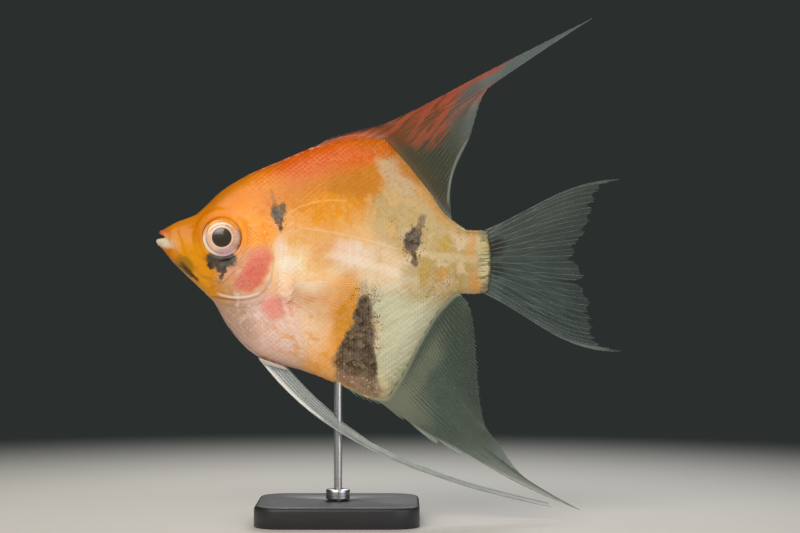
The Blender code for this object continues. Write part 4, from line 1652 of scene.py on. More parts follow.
    def build(self, fish: FishFrame, material: Material, side: int, word: str) -> Piece:
        """Make the coat of one side.

        Args:
            fish: The fish's frame.
            material: The scales' finish.
            side: -1 for the left side and 1 for the right.
            word: The side's name.

        Returns:
            The side's scales joined in one piece, with the bake map.
        """
        form = self.skin.form
        points, outward, lies, sizes, maps = [], [], [], [], []
        for bed in self.beds:
            x, angle, aft = self.roots(bed)
            down = form.girth(x, angle)
            z = form.at(x, angle)[:, 2]
            inwards = distance_to(np.array(bed.outline + bed.outline[:1]), x, z)
            inwards = np.minimum(inwards, np.hypot(x - EYE_X, z - EYE_Z) - bed.eye_gap)
            grown = smooth(-0.4, self.fade, inwards)
            normal = form.normal(x, side * angle)
            lift = self.lift - 0.1 * (1.0 - grown)
            lie = form.at(x + self.step, side * aft) - form.at(x, side * angle)
            points.append(self.skin.covered(x, side * angle) + normal * lift[:, None])
            outward.append(normal)
            lies.append(lie / np.linalg.norm(lie, axis=-1, keepdims=True))
            sizes.append((0.62 + 0.38 * grown) * bed.pitch * MM)
            spots = chart_to_map(np.stack((x, down), -1), np.full(len(x), side > 0))
            maps.append(np.concatenate((spots, np.zeros((len(x), 1))), 1))
        mesh = bpy.data.meshes.new("scale_roots")
        mesh.from_pydata([tuple(p) for p in fish.world(np.concatenate(points))], [], [])
        for name, kind, values in (("outward", "FLOAT_VECTOR", outward), ("lie", "FLOAT_VECTOR", lies),
                                   ("size", "FLOAT", sizes), ("root_uv", "FLOAT_VECTOR", maps)):
            layer = mesh.attributes.new(name, kind, "POINT")
            field_name = "value" if kind == "FLOAT" else "vector"
            layer.data.foreach_set(field_name, np.concatenate(values).astype(np.float32).ravel())
        tool = NodeTool("scale_rows", (("Plate", "NodeSocketObject"), ("Tilt", "NodeSocketFloat"),
                                       ("Patch", "NodeSocketFloat"), ("Seed", "NodeSocketInt"),
                                       ("Finish", "NodeSocketMaterial")), scale_tree)
        plate = self.plate()
        coat = tool.apply(link_object("scale_roots", mesh),
                          {"Plate": plate, "Tilt": -math.radians(self.tilt), "Patch": self.patch,
                           "Seed": self.seed + side, "Finish": material}, f"scales_{word}")
        bpy.data.objects.remove(plate)
        drop_attributes(coat, "outward", "lie", "size", "root_uv", "plate_uv")
        return coat


# ---------------- fins


@dataclass(frozen=True)
class RayPlan:
    """How a fin's rays are laid out.

    Attributes:
        spines: Hard rays in front, which don't branch.
        spine_share: Share of the fin's base that they take.
        soft: Soft rays behind them.
        splits: Shares of a soft ray's length at which it forks.
        root_radius: Radius of a ray at its root, in millimetres.
        tip_radius: Radius of a branch at its tip.
        proud: Millimetres that spines stand past the web.
        notch: Millimetres that the web is cut back between soft rays.
        spine_notch: The same between spines.
        fray: Greatest millimetres that soft tips run past the web.
    """

    spines: int
    spine_share: float
    soft: int
    splits: tuple[float, ...] = (0.34, 0.62)
    root_radius: float = 0.14
    tip_radius: float = 0.045
    proud: float = 0.35
    notch: float = 0.3
    spine_notch: float = 1.1
    fray: float = 0.5

    def places(self) -> Array:
        """Shares along the fin's base at which the rays stand."""
        front = np.linspace(0.012, self.spine_share, self.spines) if self.spines else []
        first = self.spine_share + 0.02 if self.spines else 0.008
        return np.concatenate((front, np.linspace(first, 0.992, self.soft)))


def ray_tree(tree: Tree, given: dict) -> Socket:
    """Sweep a round section along every ray, as wide as the ray's own radius says.

    Args:
        tree: The node tree to fill.
        given: Its inputs by name.

    Returns:
        The geometry of all rays.
    """
    curve = add(tree, "GeometryNodeMeshToCurve", {"Mesh": given["Geometry"]})
    section = add(tree, "GeometryNodeCurvePrimitiveCircle", {"Resolution": given["Sides"], "Radius": 1.0})
    tube = add(tree, "GeometryNodeCurveToMesh",
               {"Curve": curve, "Profile Curve": section,
                "Scale": read_named(tree, "ray_radius", "FLOAT"), "Fill Caps": True})
    even = add(tree, "GeometryNodeSetShadeSmooth", {"Geometry": tube})
    real = add(tree, "GeometryNodeRealizeInstances", {"Geometry": even})
    return add(tree, "GeometryNodeSetMaterial", {"Geometry": real, "Material": given["Finish"]})


@dataclass(frozen=True, kw_only=True)
class FinSheet:
    """One fin: a thin web stretched over its rays.

    Attributes:
        name: Name of its solid, and the start of its pieces' names.
        plan: Its rays.
        web: Finish of the web.
        ray: Finish of the rays.
        sink: Millimetres that it reaches into the body.
        root_half: Half thickness at its fleshy root.
        web_half: Half thickness of the open web.
        root_run: Millimetres over which the root thins out.
        tears: Slits in the web: share across, depth as a share of the length, half width.
        rows: Rows of the web along the rays.
        columns_between: Columns of the web from one ray to the next.
        seed: Seed of its small irregularities.
        ray_sides: Corners of a ray's section.
    """

    name: str
    plan: RayPlan
    web: Finish
    ray: Finish
    sink: float = 0.8
    root_half: float = 0.42
    web_half: float = 0.055
    root_run: float = 1.3
    tears: tuple[tuple[float, float, float], ...] = ()
    rows: int = 36
    columns_between: int = 6
    seed: int = 3
    ray_sides: int = 6

    def at(self, across: Array, along: Array) -> Array:
        """Lay out the fin.

        Args:
            across: Shares across the rays, from the first to the last.
            along: Shares along them, from root to margin.

        Returns:
            Points in fish millimetres, shape (..., 3).
        """
        raise NotImplementedError

    def length(self, across: Array) -> Array:
        """Length of the fin along its rays."""
        ends = self.at(across, np.ones(across.shape)) - self.at(across, np.zeros(across.shape))
        return np.linalg.norm(ends, axis=-1)

    def edge(self, across: Array) -> Array:
        """The web's free edge, scalloped between rays and torn.

        Args:
            across: Shares across the rays.

        Returns:
            Shares of the length at which the web ends.
        """
        places = self.plan.places()
        i = np.clip(np.searchsorted(places, across, side="right") - 1, 0, len(places) - 2)
        between = np.clip((across - places[i]) / (places[i + 1] - places[i]), 0.0, 1.0)
        depth = np.where(i + 1 < self.plan.spines, self.plan.spine_notch, self.plan.notch)
        length = self.length(across)
        depth = np.minimum(depth, 0.45 * length)
        end = 1.0 - depth / length * 4 * between * (1 - between)
        for share, cut, width in self.tears:
            end -= cut * np.exp(-np.abs(across - share) / width)
        return end

    def web_piece(self, fish: FishFrame, material: Material) -> Piece:
        """Make the web as a thin closed sheet with its own chart and the bake map.

        Args:
            fish: The fish's frame.
            material: The web's finish.

        Returns:
            The web.
        """
        places = np.unique(np.concatenate(([0.0], self.plan.places(), [1.0])))
        steps = np.arange(self.columns_between) / self.columns_between
        inner = places[:-1, None] + np.diff(places)[:, None] * steps
        across = np.concatenate((inner.ravel(), [1.0]))
        length = self.length(across)
        start, end = -self.sink / length, self.edge(across)
        share = np.linspace(0.0, 1.0, self.rows + 1)
        along = start[:, None] + (end - start)[:, None] * share
        shares = np.repeat(across[:, None], self.rows + 1, 1)
        middle = self.at(shares, along)
        reach = along * length[:, None]
        half = self.web_half + (self.root_half - self.web_half) * np.exp(
            -np.maximum(reach, 0.0) / self.root_run)
        half = half * smooth(1.0, 0.985, share) + 0.02
        points = []
        for side in (-1, 1):
            sheet = middle.copy()
            sheet[..., 1] += side * half
            points.append(sheet.reshape(-1, 3))
        count, rows = len(across), self.rows + 1
        number = np.arange(2 * count * rows).reshape(2, count, rows)
        faces = []
        for sheet in number:
            faces.append(np.stack((sheet[:-1, :-1], sheet[1:, :-1], sheet[1:, 1:],
                                   sheet[:-1, 1:]), -1).reshape(-1, 4))
        near, far = number
        for a, b in ((near[:, 0], far[:, 0]), (near[:, -1], far[:, -1]),
                     (near[0], far[0]), (near[-1], far[-1])):
            faces.append(np.stack((a[:-1], a[1:], b[1:], b[:-1]), -1))
        sheet_of = np.repeat((0, 1, 0), (len(faces[0]), len(faces[1]), sum(len(f) for f in faces[2:])))
        loops = np.concatenate(faces)
        made = build_mesh(self.name + "_web", fish.world(np.concatenate(points)),
                          loops.tolist(), material)
        flat = loops.ravel() % (count * rows)
        right = np.repeat(sheet_of, 4)
        chart = np.stack(((flat % rows) / self.rows, reach.ravel()[flat] * FIN_UNIT), -1)
        bake = np.stack((MAP_EDGE + MAP_WIDTH * shares.ravel()[flat],
                         MAP_EDGE + MAP_HEIGHT * (flat % rows) / self.rows + 0.5 * right), -1)
        for name, values in (("FinMap", chart), (BAKE_MAP, bake)):
            layer = made.data.uv_layers.new(name=name)
            layer.uv.foreach_set("vector", values.astype(np.float32).ravel())
        face_outwards(made)
        return made

    def strands(self) -> list[tuple[Array, Array, Array]]:
        """Every ray and branch as shares across, shares along and radii in millimetres."""
        random = np.random.default_rng(self.seed)
        places = self.plan.places()
        found = []
        for i, place in enumerate(places):
            length = float(self.length(np.array([place]))[0])
            start = -self.sink * 0.7 / length
            if i < self.plan.spines:
                end = 1.0 + self.plan.proud / length
                along = np.linspace(start, end, 16)
                share = np.linspace(0.0, 1.0, 16)
                radius = self.plan.root_radius * 1.25 * (1.0 - 0.8 * share)
                found.append((np.full(16, place), along, radius))
                continue
            gaps = [abs(places[n] - place) for n in (i - 1, i + 1) if 0 <= n < len(places)]
            found += self.branches(place, min(gaps) / 2, start, 0, random)
        return found

    def branches(self, place: float, room: float, start: float, level: int,
                 random: np.random.Generator) -> list[tuple[Array, Array, Array]]:
        """One stretch of a soft ray, and the two branches that follow it.

        Args:
            place: Share across where the stretch ends up.
            room: Half of the room that its branches may take.
            start: Share along where it starts.
            level: How many forks lie before it.
            random: Source of irregularities.

        Returns:
            The stretch and all of its branches.
        """
        splits = self.plan.splits
        last = level == len(splits)
        end = splits[level] + 0.04 * random.uniform(-1, 1) if not last else 1.0
        if last:
            place_in = np.array([min(1.0, max(0.0, place))])
            tail = self.plan.fray * random.uniform(-0.2, 1.0) / float(self.length(place_in)[0])
            end = float(self.edge(place_in)[0]) + tail
        along = np.linspace(start, max(end, start + 0.02), 14)
        thick = self.plan.root_radius + (self.plan.tip_radius - self.plan.root_radius) * (
            np.clip(along, 0.0, 1.0) ** 0.7)
        found = [(np.full(14, place), along, thick)]
        if last:
            return found
        for side in (-1, 1):
            for across, further, radius in self.branches(place + side * room / 2, room / 2,
                                                         end, level + 1, random):
                if further[0] == end:
                    across = place + (across - place) * smooth(end, end + 0.16, further)
                found.append((across, further, radius))
        return found

    def ray_piece(self, fish: FishFrame, material: Material) -> Piece:
        """Make all rays as one piece of swept tubes.

        Args:
            fish: The fish's frame.
            material: The rays' finish.

        Returns:
            The rays.
        """
        points, edges, radii, count = [], [], [], 0
        for across, along, radius in self.strands():
            points.append(self.at(across, along))
            edges += [(count + i, count + i + 1) for i in range(len(along) - 1)]
            radii.append(radius * MM)
            count += len(along)
        mesh = bpy.data.meshes.new("ray_lines")
        mesh.from_pydata([tuple(p) for p in fish.world(np.concatenate(points))], edges, [])
        layer = mesh.attributes.new("ray_radius", "FLOAT", "POINT")
        layer.data.foreach_set("value", np.concatenate(radii).astype(np.float32))
        tool = NodeTool("swept_rays", (("Sides", "NodeSocketInt"),
                                       ("Finish", "NodeSocketMaterial")), ray_tree)
        made = tool.apply(link_object("ray_lines", mesh),
                          {"Sides": self.ray_sides, "Finish": material}, self.name + "_rays")
        drop_attributes(made, "ray_radius")
        return made

    def build(self, fish: FishFrame) -> None:
        """Make, dress and tie both pieces of the fin."""
        join_body(self.web_piece(fish, self.web.make(fish)), "fin_web", self.name)
        join_body(self.ray_piece(fish, self.ray.make(fish)), "fin_web")


@dataclass(frozen=True, kw_only=True)
class FanFin(FinSheet):
    """A fin whose rays fan out from a root line to a margin.

    Attributes:
        root: Side-view points of the root line at shares across.
        tip: The margin, as (share, x, z).
        bow: A ray's sideways bend, as a share of its length, at shares across.
        plane: Distance out of the middle plane at a place x and shares across and along.
        crest: How far the bend's crest moves from a ray's middle to its tip, from 0 to 1.
    """

    root: Callable[[Array], Array]
    tip: Margin
    bow: Callable[[Array], Array]
    plane: Callable[[Array, Array, Array], Array]
    crest: float = 0.0

    def at(self, across: Array, along: Array) -> Array:
        """Fish millimetres at shares across the rays and along them."""
        base = self.root(across)
        ray = path_at(self.tip, across) - base
        bend = np.stack((-ray[..., 1], ray[..., 0]), -1) * self.bow(across)[..., None]
        t = along[..., None]
        place = base + ray * t + bend * 4 * t * (1 - t) * (1 + self.crest * (2 * t - 1))
        y = self.plane(place[..., 0], across, along)
        return np.stack((place[..., 0], y, place[..., 1]), -1)


@dataclass(frozen=True, kw_only=True)
class RibbonFin(FinSheet):
    """A long narrow fin whose rays run side by side from root to tip.

    Attributes:
        leading: Front edge from root to tip.
        trailing: Rear edge from root to tip.
        side: -1 on the left and 1 on the right.
        root_y: Distance from the middle plane at the root.
        tip_y: The same at the tip.
    """

    leading: Knots
    trailing: Knots
    side: int
    root_y: float = 1.7
    tip_y: float = 3.4

    def line(self, points: Knots, along: Array) -> Array:
        """Points along one edge, run straight on past its ends.

        Args:
            points: Side-view points of the edge.
            along: Shares along it.

        Returns:
            Side-view points, shape (..., 2).
        """
        held = np.clip(along, 0.0, 1.0)
        place = path_at(even_shares(points), held)
        first = np.array(points[1]) - np.array(points[0])
        final = np.array(points[-1]) - np.array(points[-2])
        over = (along - held)[..., None] * (len(points) - 1)
        return place + np.where(over < 0, over * first, over * final)

    def at(self, across: Array, along: Array) -> Array:
        """Fish millimetres at shares across the rays and along them."""
        front, rear = self.line(self.leading, along), self.line(self.trailing, along)
        place = front + (rear - front) * across[..., None]
        start, end = self.leading[0][0], self.trailing[-1][0]
        share = np.clip((place[..., 0] - start) / (end - start), 0.0, 1.0)
        y = self.side * (self.root_y + (self.tip_y - self.root_y) * np.sqrt(share))
        ripple = 0.12 * np.sin(across * 9.0) * smooth(0.0, 0.2, along)
        return np.stack((place[..., 0], y + ripple, place[..., 1]), -1)


def outline_root(knots: Knots, ends: tuple[float, float]) -> Callable[[Array], Array]:
    """Root line along the body's outline, evenly spaced by its length.

    Args:
        knots: Outline's height against x.
        ends: Places where the fin starts and ends.

    Returns:
        A function from shares to side-view points.
    """
    x = np.linspace(ends[0], ends[1], 400)
    z = knots_at(knots, x)
    length = run_of(np.hypot(np.diff(x), np.diff(z)))

    def root(share: Array) -> Array:
        """Side-view points of the root line."""
        place = np.interp(share, length / length[-1], x)
        return np.stack((place, knots_at(knots, place)), -1)

    return root


def wavy_plane(depth: float, waves: float, phase: float) -> Callable[[Array, Array, Array], Array]:
    """The middle plane, with slack waves that grow towards the margin.

    Args:
        depth: Height of the waves at the margin.
        waves: Waves from the first ray to the last.
        phase: Where the first one starts.

    Returns:
        A function for a fan fin's plane.
    """

    def plane(_x: Array, across: Array, along: Array) -> Array:
        """Distance of the web from the middle plane."""
        slack = np.clip(along, 0.0, 1.2) ** 1.5
        return depth * slack * np.sin(2 * math.pi * waves * across + phase + 2.2 * along)

    return plane


def level(value: float) -> Callable[[Array], Array]:
    """The same bend for every ray."""
    return lambda across: np.full(across.shape, value)


DORSAL_TIP: Margin = ((0.00, 36.8, 21.6), (0.10, 42.3, 23.2), (0.20, 48.0, 24.6), (0.30, 56.9, 28.6),
                      (0.38, 69.8, 35.5), (0.42, 82.4, 42.0), (0.46, 93.9, 47.8), (0.50, 86.0, 43.0),
                      (0.56, 79.0, 39.6), (0.64, 73.8, 35.5), (0.72, 70.2, 30.6), (0.80, 68.6, 25.6),
                      (0.84, 67.7, 22.5), (0.88, 66.4, 19.8), (0.94, 64.3, 15.9), (1.00, 62.9, 10.5))
ANAL_TIP: Margin = ((0.00, 42.6, -33.2), (0.10, 46.4, -34.7), (0.16, 49.5, -35.6), (0.21, 53.4, -38.6),
                    (0.222, 54.0, -38.2), (0.26, 60.6, -43.9), (0.268, 61.4, -43.0), (0.288, 65.6, -46.4),
                    (0.297, 67.0, -46.0), (0.31, 70.0, -47.9), (0.36, 80.5, -53.7), (0.41, 91.8, -58.4),
                    (0.46, 83.5, -53.9), (0.52, 78.6, -50.4), (0.60, 74.1, -44.4), (0.68, 70.6, -39.2),
                    (0.76, 69.6, -32.5), (0.85, 69.0, -24.5), (0.93, 68.4, -17.4), (1.00, 67.0, -13.3))
TAIL_TIP: Margin = ((0.00, 99.6, 13.0), (0.04, 96.6, 12.0), (0.10, 95.0, 10.0), (0.22, 93.8, 5.4),
                    (0.33, 92.4, 1.2), (0.40, 90.5, -1.0), (0.47, 90.3, -4.0), (0.54, 92.3, -7.4),
                    (0.60, 91.8, -9.4), (0.68, 93.6, -13.2), (0.80, 94.1, -18.5), (0.90, 94.9, -21.6),
                    (0.96, 96.6, -22.9), (1.00, 99.9, -23.9))
PELVIC_LEADING: Knots = ((23.1, -26.4), (26.7, -30.6), (31.0, -34.8), (35.3, -38.3), (43.9, -43.7),
                         (52.6, -47.8), (61.2, -51.0), (69.8, -53.7), (84.0, -57.0))
PELVIC_TRAILING: Knots = ((28.3, -27.9), (30.4, -30.2), (33.4, -33.4), (36.8, -36.4), (44.1, -42.6),
                          (52.7, -47.1), (61.3, -50.5), (69.9, -53.3), (84.1, -56.9))
PECTORAL_TIP: Margin = ((0.0, 42.6, -8.0), (0.15, 43.1, -9.3), (0.35, 42.4, -11.5),
                        (0.6, 40.4, -13.8), (0.85, 37.0, -15.5), (1.0, 34.4, -15.7))
PECTORAL_SPREAD = math.tan(math.radians(22.0))
PECTORAL_GLEAM = (Patch(31.5, -8.5, 5, 2.4, "#fff3dc", -8, 0.7),)


def dorsal_fin(form: BodyForm) -> FanFin:
    """The tall dorsal fin: red-orange in front, grey and clear behind, with a long filament.

    Args:
        form: The body, whose back it follows.

    Returns:
        The fin.
    """
    marks = (
        Patch(57, 20.5, 8, 9, "#665334", -40, 0.5),
        Patch(62.5, 15, 5, 9, "#474c3b", 25, 0.5),
        Patch(56, 24.5, 8, 3.2, "#7f4d2c", 30, 0.5),
        Patch(49, 25.4, 16, 2.6, "#bf5c30", 24, 0.4),
        Patch(66, 34.4, 12, 1.7, "#ba583a", 29, 0.5),
        Streaks(Patch(55, 27.6, 11, 2.6, "#5a381f", 27, 0.5, 0.75), 33, 8, 0.5, 0.55),
        Streaks(Patch(60.7, 26.7, 7.4, 4, "#b9573a", 52, 0.4, 0.9), 50, 9, 0.9, 0.6),
        Patch(58.5, 13, 8, 1.6, "#574f38", -52, 0.6),
        Patch(66.4, 27, 6, 2.4, "#505c54", 68, 0.7, 0.8),
        Stroke((62.9, 7.5), (63.9, 14.8), (67.6, 22.2), 0.26, "#828f84"),
    )
    veils = (
        Patch(50, 25.6, 20, 4, 0.9, 25, 0.4),
        Patch(67, 34, 10, 2, 0.85, 29, 0.5),
        Patch(57, 20.5, 7.5, 8, 0.66, -40, 0.5),
        Patch(61, 26.4, 6.5, 5, 0.7, 48, 0.5),
        Patch(85, 43.5, 12, 2, 0.6, 27, 0.5),
        Stroke((62.9, 7.5), (63.9, 14.8), (67.6, 22.2), 0.3, 0.72),
    )
    ray_marks = (
        Patch(50, 24.5, 20, 4.5, "#d06a3c", 26, 0.4),
        Patch(64, 31, 10, 4, "#d26a50", 32, 0.5),
        Patch(43, 24, 9, 1.2, "#7d5030", 9, 0.6),
        Patch(60.5, 19, 6, 9, "#6b6148", 30, 0.6),
    )
    return FanFin(name="dorsal_fin",
                  plan=RayPlan(12, 0.31, 26, proud=0.8, notch=0.35, spine_notch=1.3, fray=0.2),
                  web=FinWeb("dorsal_fin_web", "#6d7b78", marks, 0.5, veils, root_reach=1.6),
                  ray=FinRay("dorsal_fin_ray", "#8d9996", ray_marks),
                  root=outline_root(form.back, (34.2, 63.7)), tip=DORSAL_TIP, bow=level(0.0),
                  plane=wavy_plane(0.28, 1.6, 0.4))


def anal_fin(form: BodyForm) -> FanFin:
    """The deep anal fin: grey-green and clear, with pale rays and a cream root.

    Args:
        form: The body, whose belly it follows.

    Returns:
        The fin.
    """
    marks = (
        Patch(50, -34, 8, 4, "#7a8070", -38, 0.7),
        Stroke((50.5, -36), (59, -26), (67.6, -14.2), 2.2, "#7f8770", 0.8, Edge.WAVY),
        Patch(68, -24, 5, 12, "#4c594c", 20, 0.6),
        Stroke((43, -33.6), (62, -44.2), (90, -58), 0.7, "#a3aba2"),
    )
    veils = (Patch(50, -35, 10, 4, 0.7, -38, 0.6), Stroke((43, -33.6), (62, -44.2), (90, -58), 0.8, 0.7))
    return FanFin(name="anal_fin",
                  plan=RayPlan(6, 0.2, 40, splits=(0.5,), root_radius=0.115, tip_radius=0.05,
                               notch=0.3, spine_notch=1.6, proud=0.7, fray=0.5),
                  web=FinWeb("anal_fin_web", "#57655a", marks, 0.5, veils,
                             root_tint="#9a9b80", root_reach=1.3),
                  ray=FinRay("anal_fin_ray", "#7c887a",
                             (Patch(51.5, -34, 6.5, 4, "#b3b298", -34, 0.8),
                              Patch(61, -20, 9, 2.2, "#9b9c80", 52, 0.7))),
                  root=outline_root(form.belly, (41.0, 65.3)), tip=ANAL_TIP,
                  bow=lambda across: -0.05 * np.sin(math.pi * across),
                  plane=wavy_plane(0.3, 1.8, 1.9), root_half=0.2, root_run=1.2, seed=5)


def tail_fin() -> FanFin:
    """The fan-shaped tail fin: grey-blue and clear, frayed at its margin."""
    marks = (
        Patch(88, 5, 14, 5, "#5d6658", 30, 0.5, 0.7),
        Streaks(Patch(85, -14, 12, 5.5, "#3f4a46", -27, 0.6, 0.7), -25, 10, 1.1),
        Streaks(Patch(85, -3.5, 12, 5, "#46514c", 0, 0.6, 0.6), 0, 10, 1.1),
        Streaks(Patch(85, 6, 12, 5, "#4a544e", 25, 0.6, 0.5), 24, 10, 1.2),
        Patch(73.4, -1.6, 2, 1.6, "#343930", 88, 0.6),
        Patch(73.4, -6.6, 1.4, 1.4, "#343930", 88, 0.6, 0.9),
        Stroke((73, 3), (86, 11), (98, 13), 0.7, "#8d958e"),
        Stroke((73, -13), (84, -20.5), (98, -24), 0.8, "#9aa19a"),
    )
    veils = (Patch(73, -4.7, 7, 1.6, 0.8, 88, 0.6),)
    return FanFin(name="tail_fin",
                  plan=RayPlan(0, 0.0, 17, splits=(0.42,), root_radius=0.18,
                               tip_radius=0.07, notch=0.9, fray=0.6),
                  web=FinWeb("tail_fin_web", "#58655f", marks, 0.42, veils,
                             root_tint="#b9b18a", root_reach=0.9, margin=0.4),
                  ray=FinRay("tail_fin_ray", "#707b74",
                             (Patch(71.2, -4.7, 7, 1.3, "#bdb998", 88, 0.7),),
                             cover=0.33),
                  root=lambda across: np.stack((71.0 - 1.1 * (2.0 * across - 1.0) ** 2,
                                                1.75 - 12.9 * across), -1),
                  tip=TAIL_TIP, bow=lambda across: 0.045 - 0.105 * across, crest=1.0,
                  plane=wavy_plane(0.35, 2.2, 0.0), sink=1.2, root_half=0.42, root_run=0.9,
                  tears=((0.59, 0.28, 0.006), (0.3, 0.07, 0.004), (0.47, 0.06, 0.004),
                         (0.74, 0.08, 0.004), (0.16, 0.05, 0.004), (0.86, 0.06, 0.004)),
                  columns_between=10, seed=11)


def pelvic_fin(side: int, word: str) -> RibbonFin:
    """One long ribbon-like pelvic fin with a bright stiff front ray.

    Args:
        side: -1 on the left and 1 on the right.
        word: The side's name.

    Returns:
        The fin.
    """
    marks = (Stroke((23.5, -26.8), (28.8, -32.6), (36, -38.7), 0.45, "#eeeeea"),)
    veils = (Stroke((23, -26.5), (28.8, -32.6), (38, -40), 0.6, 0.9),)
    return RibbonFin(name=f"pelvic_fin_{word}",
                     plan=RayPlan(1, 0.0, 6, splits=(), root_radius=0.17, tip_radius=0.08,
                                  proud=0.2, notch=0.0, spine_notch=0.0, fray=0.6),
                     web=FinWeb(f"pelvic_web_{word}", "#9ba6a2", marks, 0.4, veils,
                                root_tint="#bfb3aa", root_reach=0.5, margin=0.8),
                     ray=FinRay(f"pelvic_ray_{word}", "#c0c8c3",
                                (Patch(27.5, -32.5, 9, 1.8, "#fbfaf6", -46, 0.5),),
                                cover=0.6),
                     leading=PELVIC_LEADING, trailing=PELVIC_TRAILING, side=side,
                     rows=90, seed=13 + side, web_half=0.05, sink=2.4)


def pectoral_fin(side: int, word: str) -> FanFin:
    """One clear pectoral fin, held off the flank.

    Args:
        side: -1 on the left and 1 on the right.
        word: The side's name.

    Returns:
        The fin.
    """

    def plane(x: Array, across: Array, along: Array) -> Array:
        """Distance of the web from the middle plane."""
        spread = 7.35 + np.maximum(0.0, x - 29.0) * PECTORAL_SPREAD
        spread -= 0.85 * np.exp(-15.0 * np.maximum(along, 0.0))
        return side * (spread - 16.0 * np.clip(-along, 0.0, 1.0)
                       + 0.1 * np.sin(across * 12.0) * np.clip(along, 0.0, 1.2))

    return FanFin(name=f"pectoral_fin_{word}",
                  plan=RayPlan(0, 0.0, 10, splits=(0.5,), root_radius=0.1,
                               tip_radius=0.06, notch=0.15, fray=0.1),
                  web=FinWeb(f"pectoral_web_{word}", "#eeb884", PECTORAL_GLEAM, 0.14,
                             (Patch(31.5, -8.5, 4.5, 2.2, 0.45, -8, 0.7),),
                             root_tint="#f3cda2", root_reach=0.4),
                  ray=FinRay(f"pectoral_ray_{word}", "#ffe6c0", cover=0.34),
                  root=lambda across: np.stack((29.0 - 0.2 * across, -9.2 - 3.0 * across), -1),
                  tip=PECTORAL_TIP, bow=level(0.0), plane=plane, sink=0.9, root_half=0.2,
                  root_run=0.6, rows=26, web_half=0.03, seed=17)


# ---------------- eyes


@dataclass(frozen=True)
class WetEye(Finish):
    """A live fish's eye: iris under a clear wet dome, so it is glossy all over."""

    name: str = "wet_eye"
    roughness: float = 0.3

    def sockets(self, brush: Brush) -> dict:
        """Iris rings round a dark pupil, with a painted highlight on the pupil."""
        even = Edge.EVEN
        x, z = EYE_X, EYE_Z
        iris = (
            Patch(x + 1.3, z - 2.5, 2.4, 1.2, "#cfa3a6", 28, 0.6, edge=even),
            Patch(x + 2.9, z + 0.2, 1.1, 2.4, "#cb9a78", 0, 0.6, edge=even),
            Patch(x - 2.2, z + 0.2, 1.3, 2.2, "#efc3a4", 0, 0.6, edge=even),
            Stroke((x - 2.6, z + 1.2), (x - 0.6, z + 2.75), (x + 1.8, z + 2.2), 0.22, "#a98a74"),
            Stroke((x - 3.5, z + 1.8), (x, z + 3.9), (x + 3.4, z + 1.9), 1, "#ee9a22"),
            Stroke((x - 2.9, z + 1.4), (x - 0.4, z + 2.95), (x + 2.3, z + 2.2), 0.2, "#f6dcc8"),
            Stroke((x + 3.2, z + 2), (x + 3.85, z - 0.4), (x + 3.1, z - 2.4), 0.26, "#9a6b45"),
            Stroke((x - 3.9, z + 0.6), (x - 3.2, z - 2.2), (x - 0.8, z - 3.85), 0.32, "#fff6ea"),
            Stroke((x - 3.3, z + 0.4), (x - 2.6, z - 2), (x + 0.6, z - 3.3), 0.14, "#b58a80",
                   strength=0.7),
            Stroke((x - 1.6, z - 3.6), (x + 1, z - 3.75), (x + 3, z - 2.6), 0.2, "#e9cfd2"),
        )
        pupil_and_highlight = (
            Patch(x, z, 2.42, 2.4, "#f4d3b6", 0, 0.07, edge=even),
            Patch(x, z, 2.12, 2.08, "#3d332b", 0, 0.05, edge=even),
            # Painted highlight: a grey reflection on the upper part of the pupil.
            Patch(x - 0.5, z + 1.5, 0.9, 0.32, "#77706a", 10, 0.5, edge=even),
        )
        fibres = brush.ramp(brush.noise(0.5, 3.0), 0.5, 0.75, 0.2)
        colour = brush.mix(fibres, brush.paint("#edc2a2", iris), "#fff4ea")
        colour = brush.paint(colour, pupil_and_highlight)
        return {"Base Color": colour, "Roughness": self.roughness, "IOR": 1.4,
                "Coat Weight": 1.0, "Coat Roughness": 0.04}


def lathe(name: str, profile: Sequence[tuple[float, float]], sides: int,
          place: Callable[[Array, Array, float], Array], material: Material) -> Piece:
    """Turn a profile round an axis.

    Args:
        name: Name of the piece.
        profile: Radius and height of each ring; a radius of 0 closes it to a point.
        sides: Corners of each ring.
        place: World points from cosines, sines times the radius, and the height.
        material: Finish.

    Returns:
        The turned piece, with its faces outwards.
    """
    turn = full_turn(sides)
    points, rings = [], []
    for radius, height in profile:
        count = 1 if radius == 0 else sides
        rings.append(np.arange(count) + sum(len(p) for p in points))
        points.append(place(radius * np.cos(turn[:count]), radius * np.sin(turn[:count]), height))
    faces = []
    for low, high in zip(rings, rings[1:]):
        for i in range(sides):
            n = (i + 1) % sides
            loop = (low[i % len(low)], low[n % len(low)], high[n % len(high)], high[i % len(high)])
            faces.append(list(dict.fromkeys(int(v) for v in loop)))
    made = build_mesh(name, np.concatenate(points), faces, material)
    face_outwards(made)
    return made


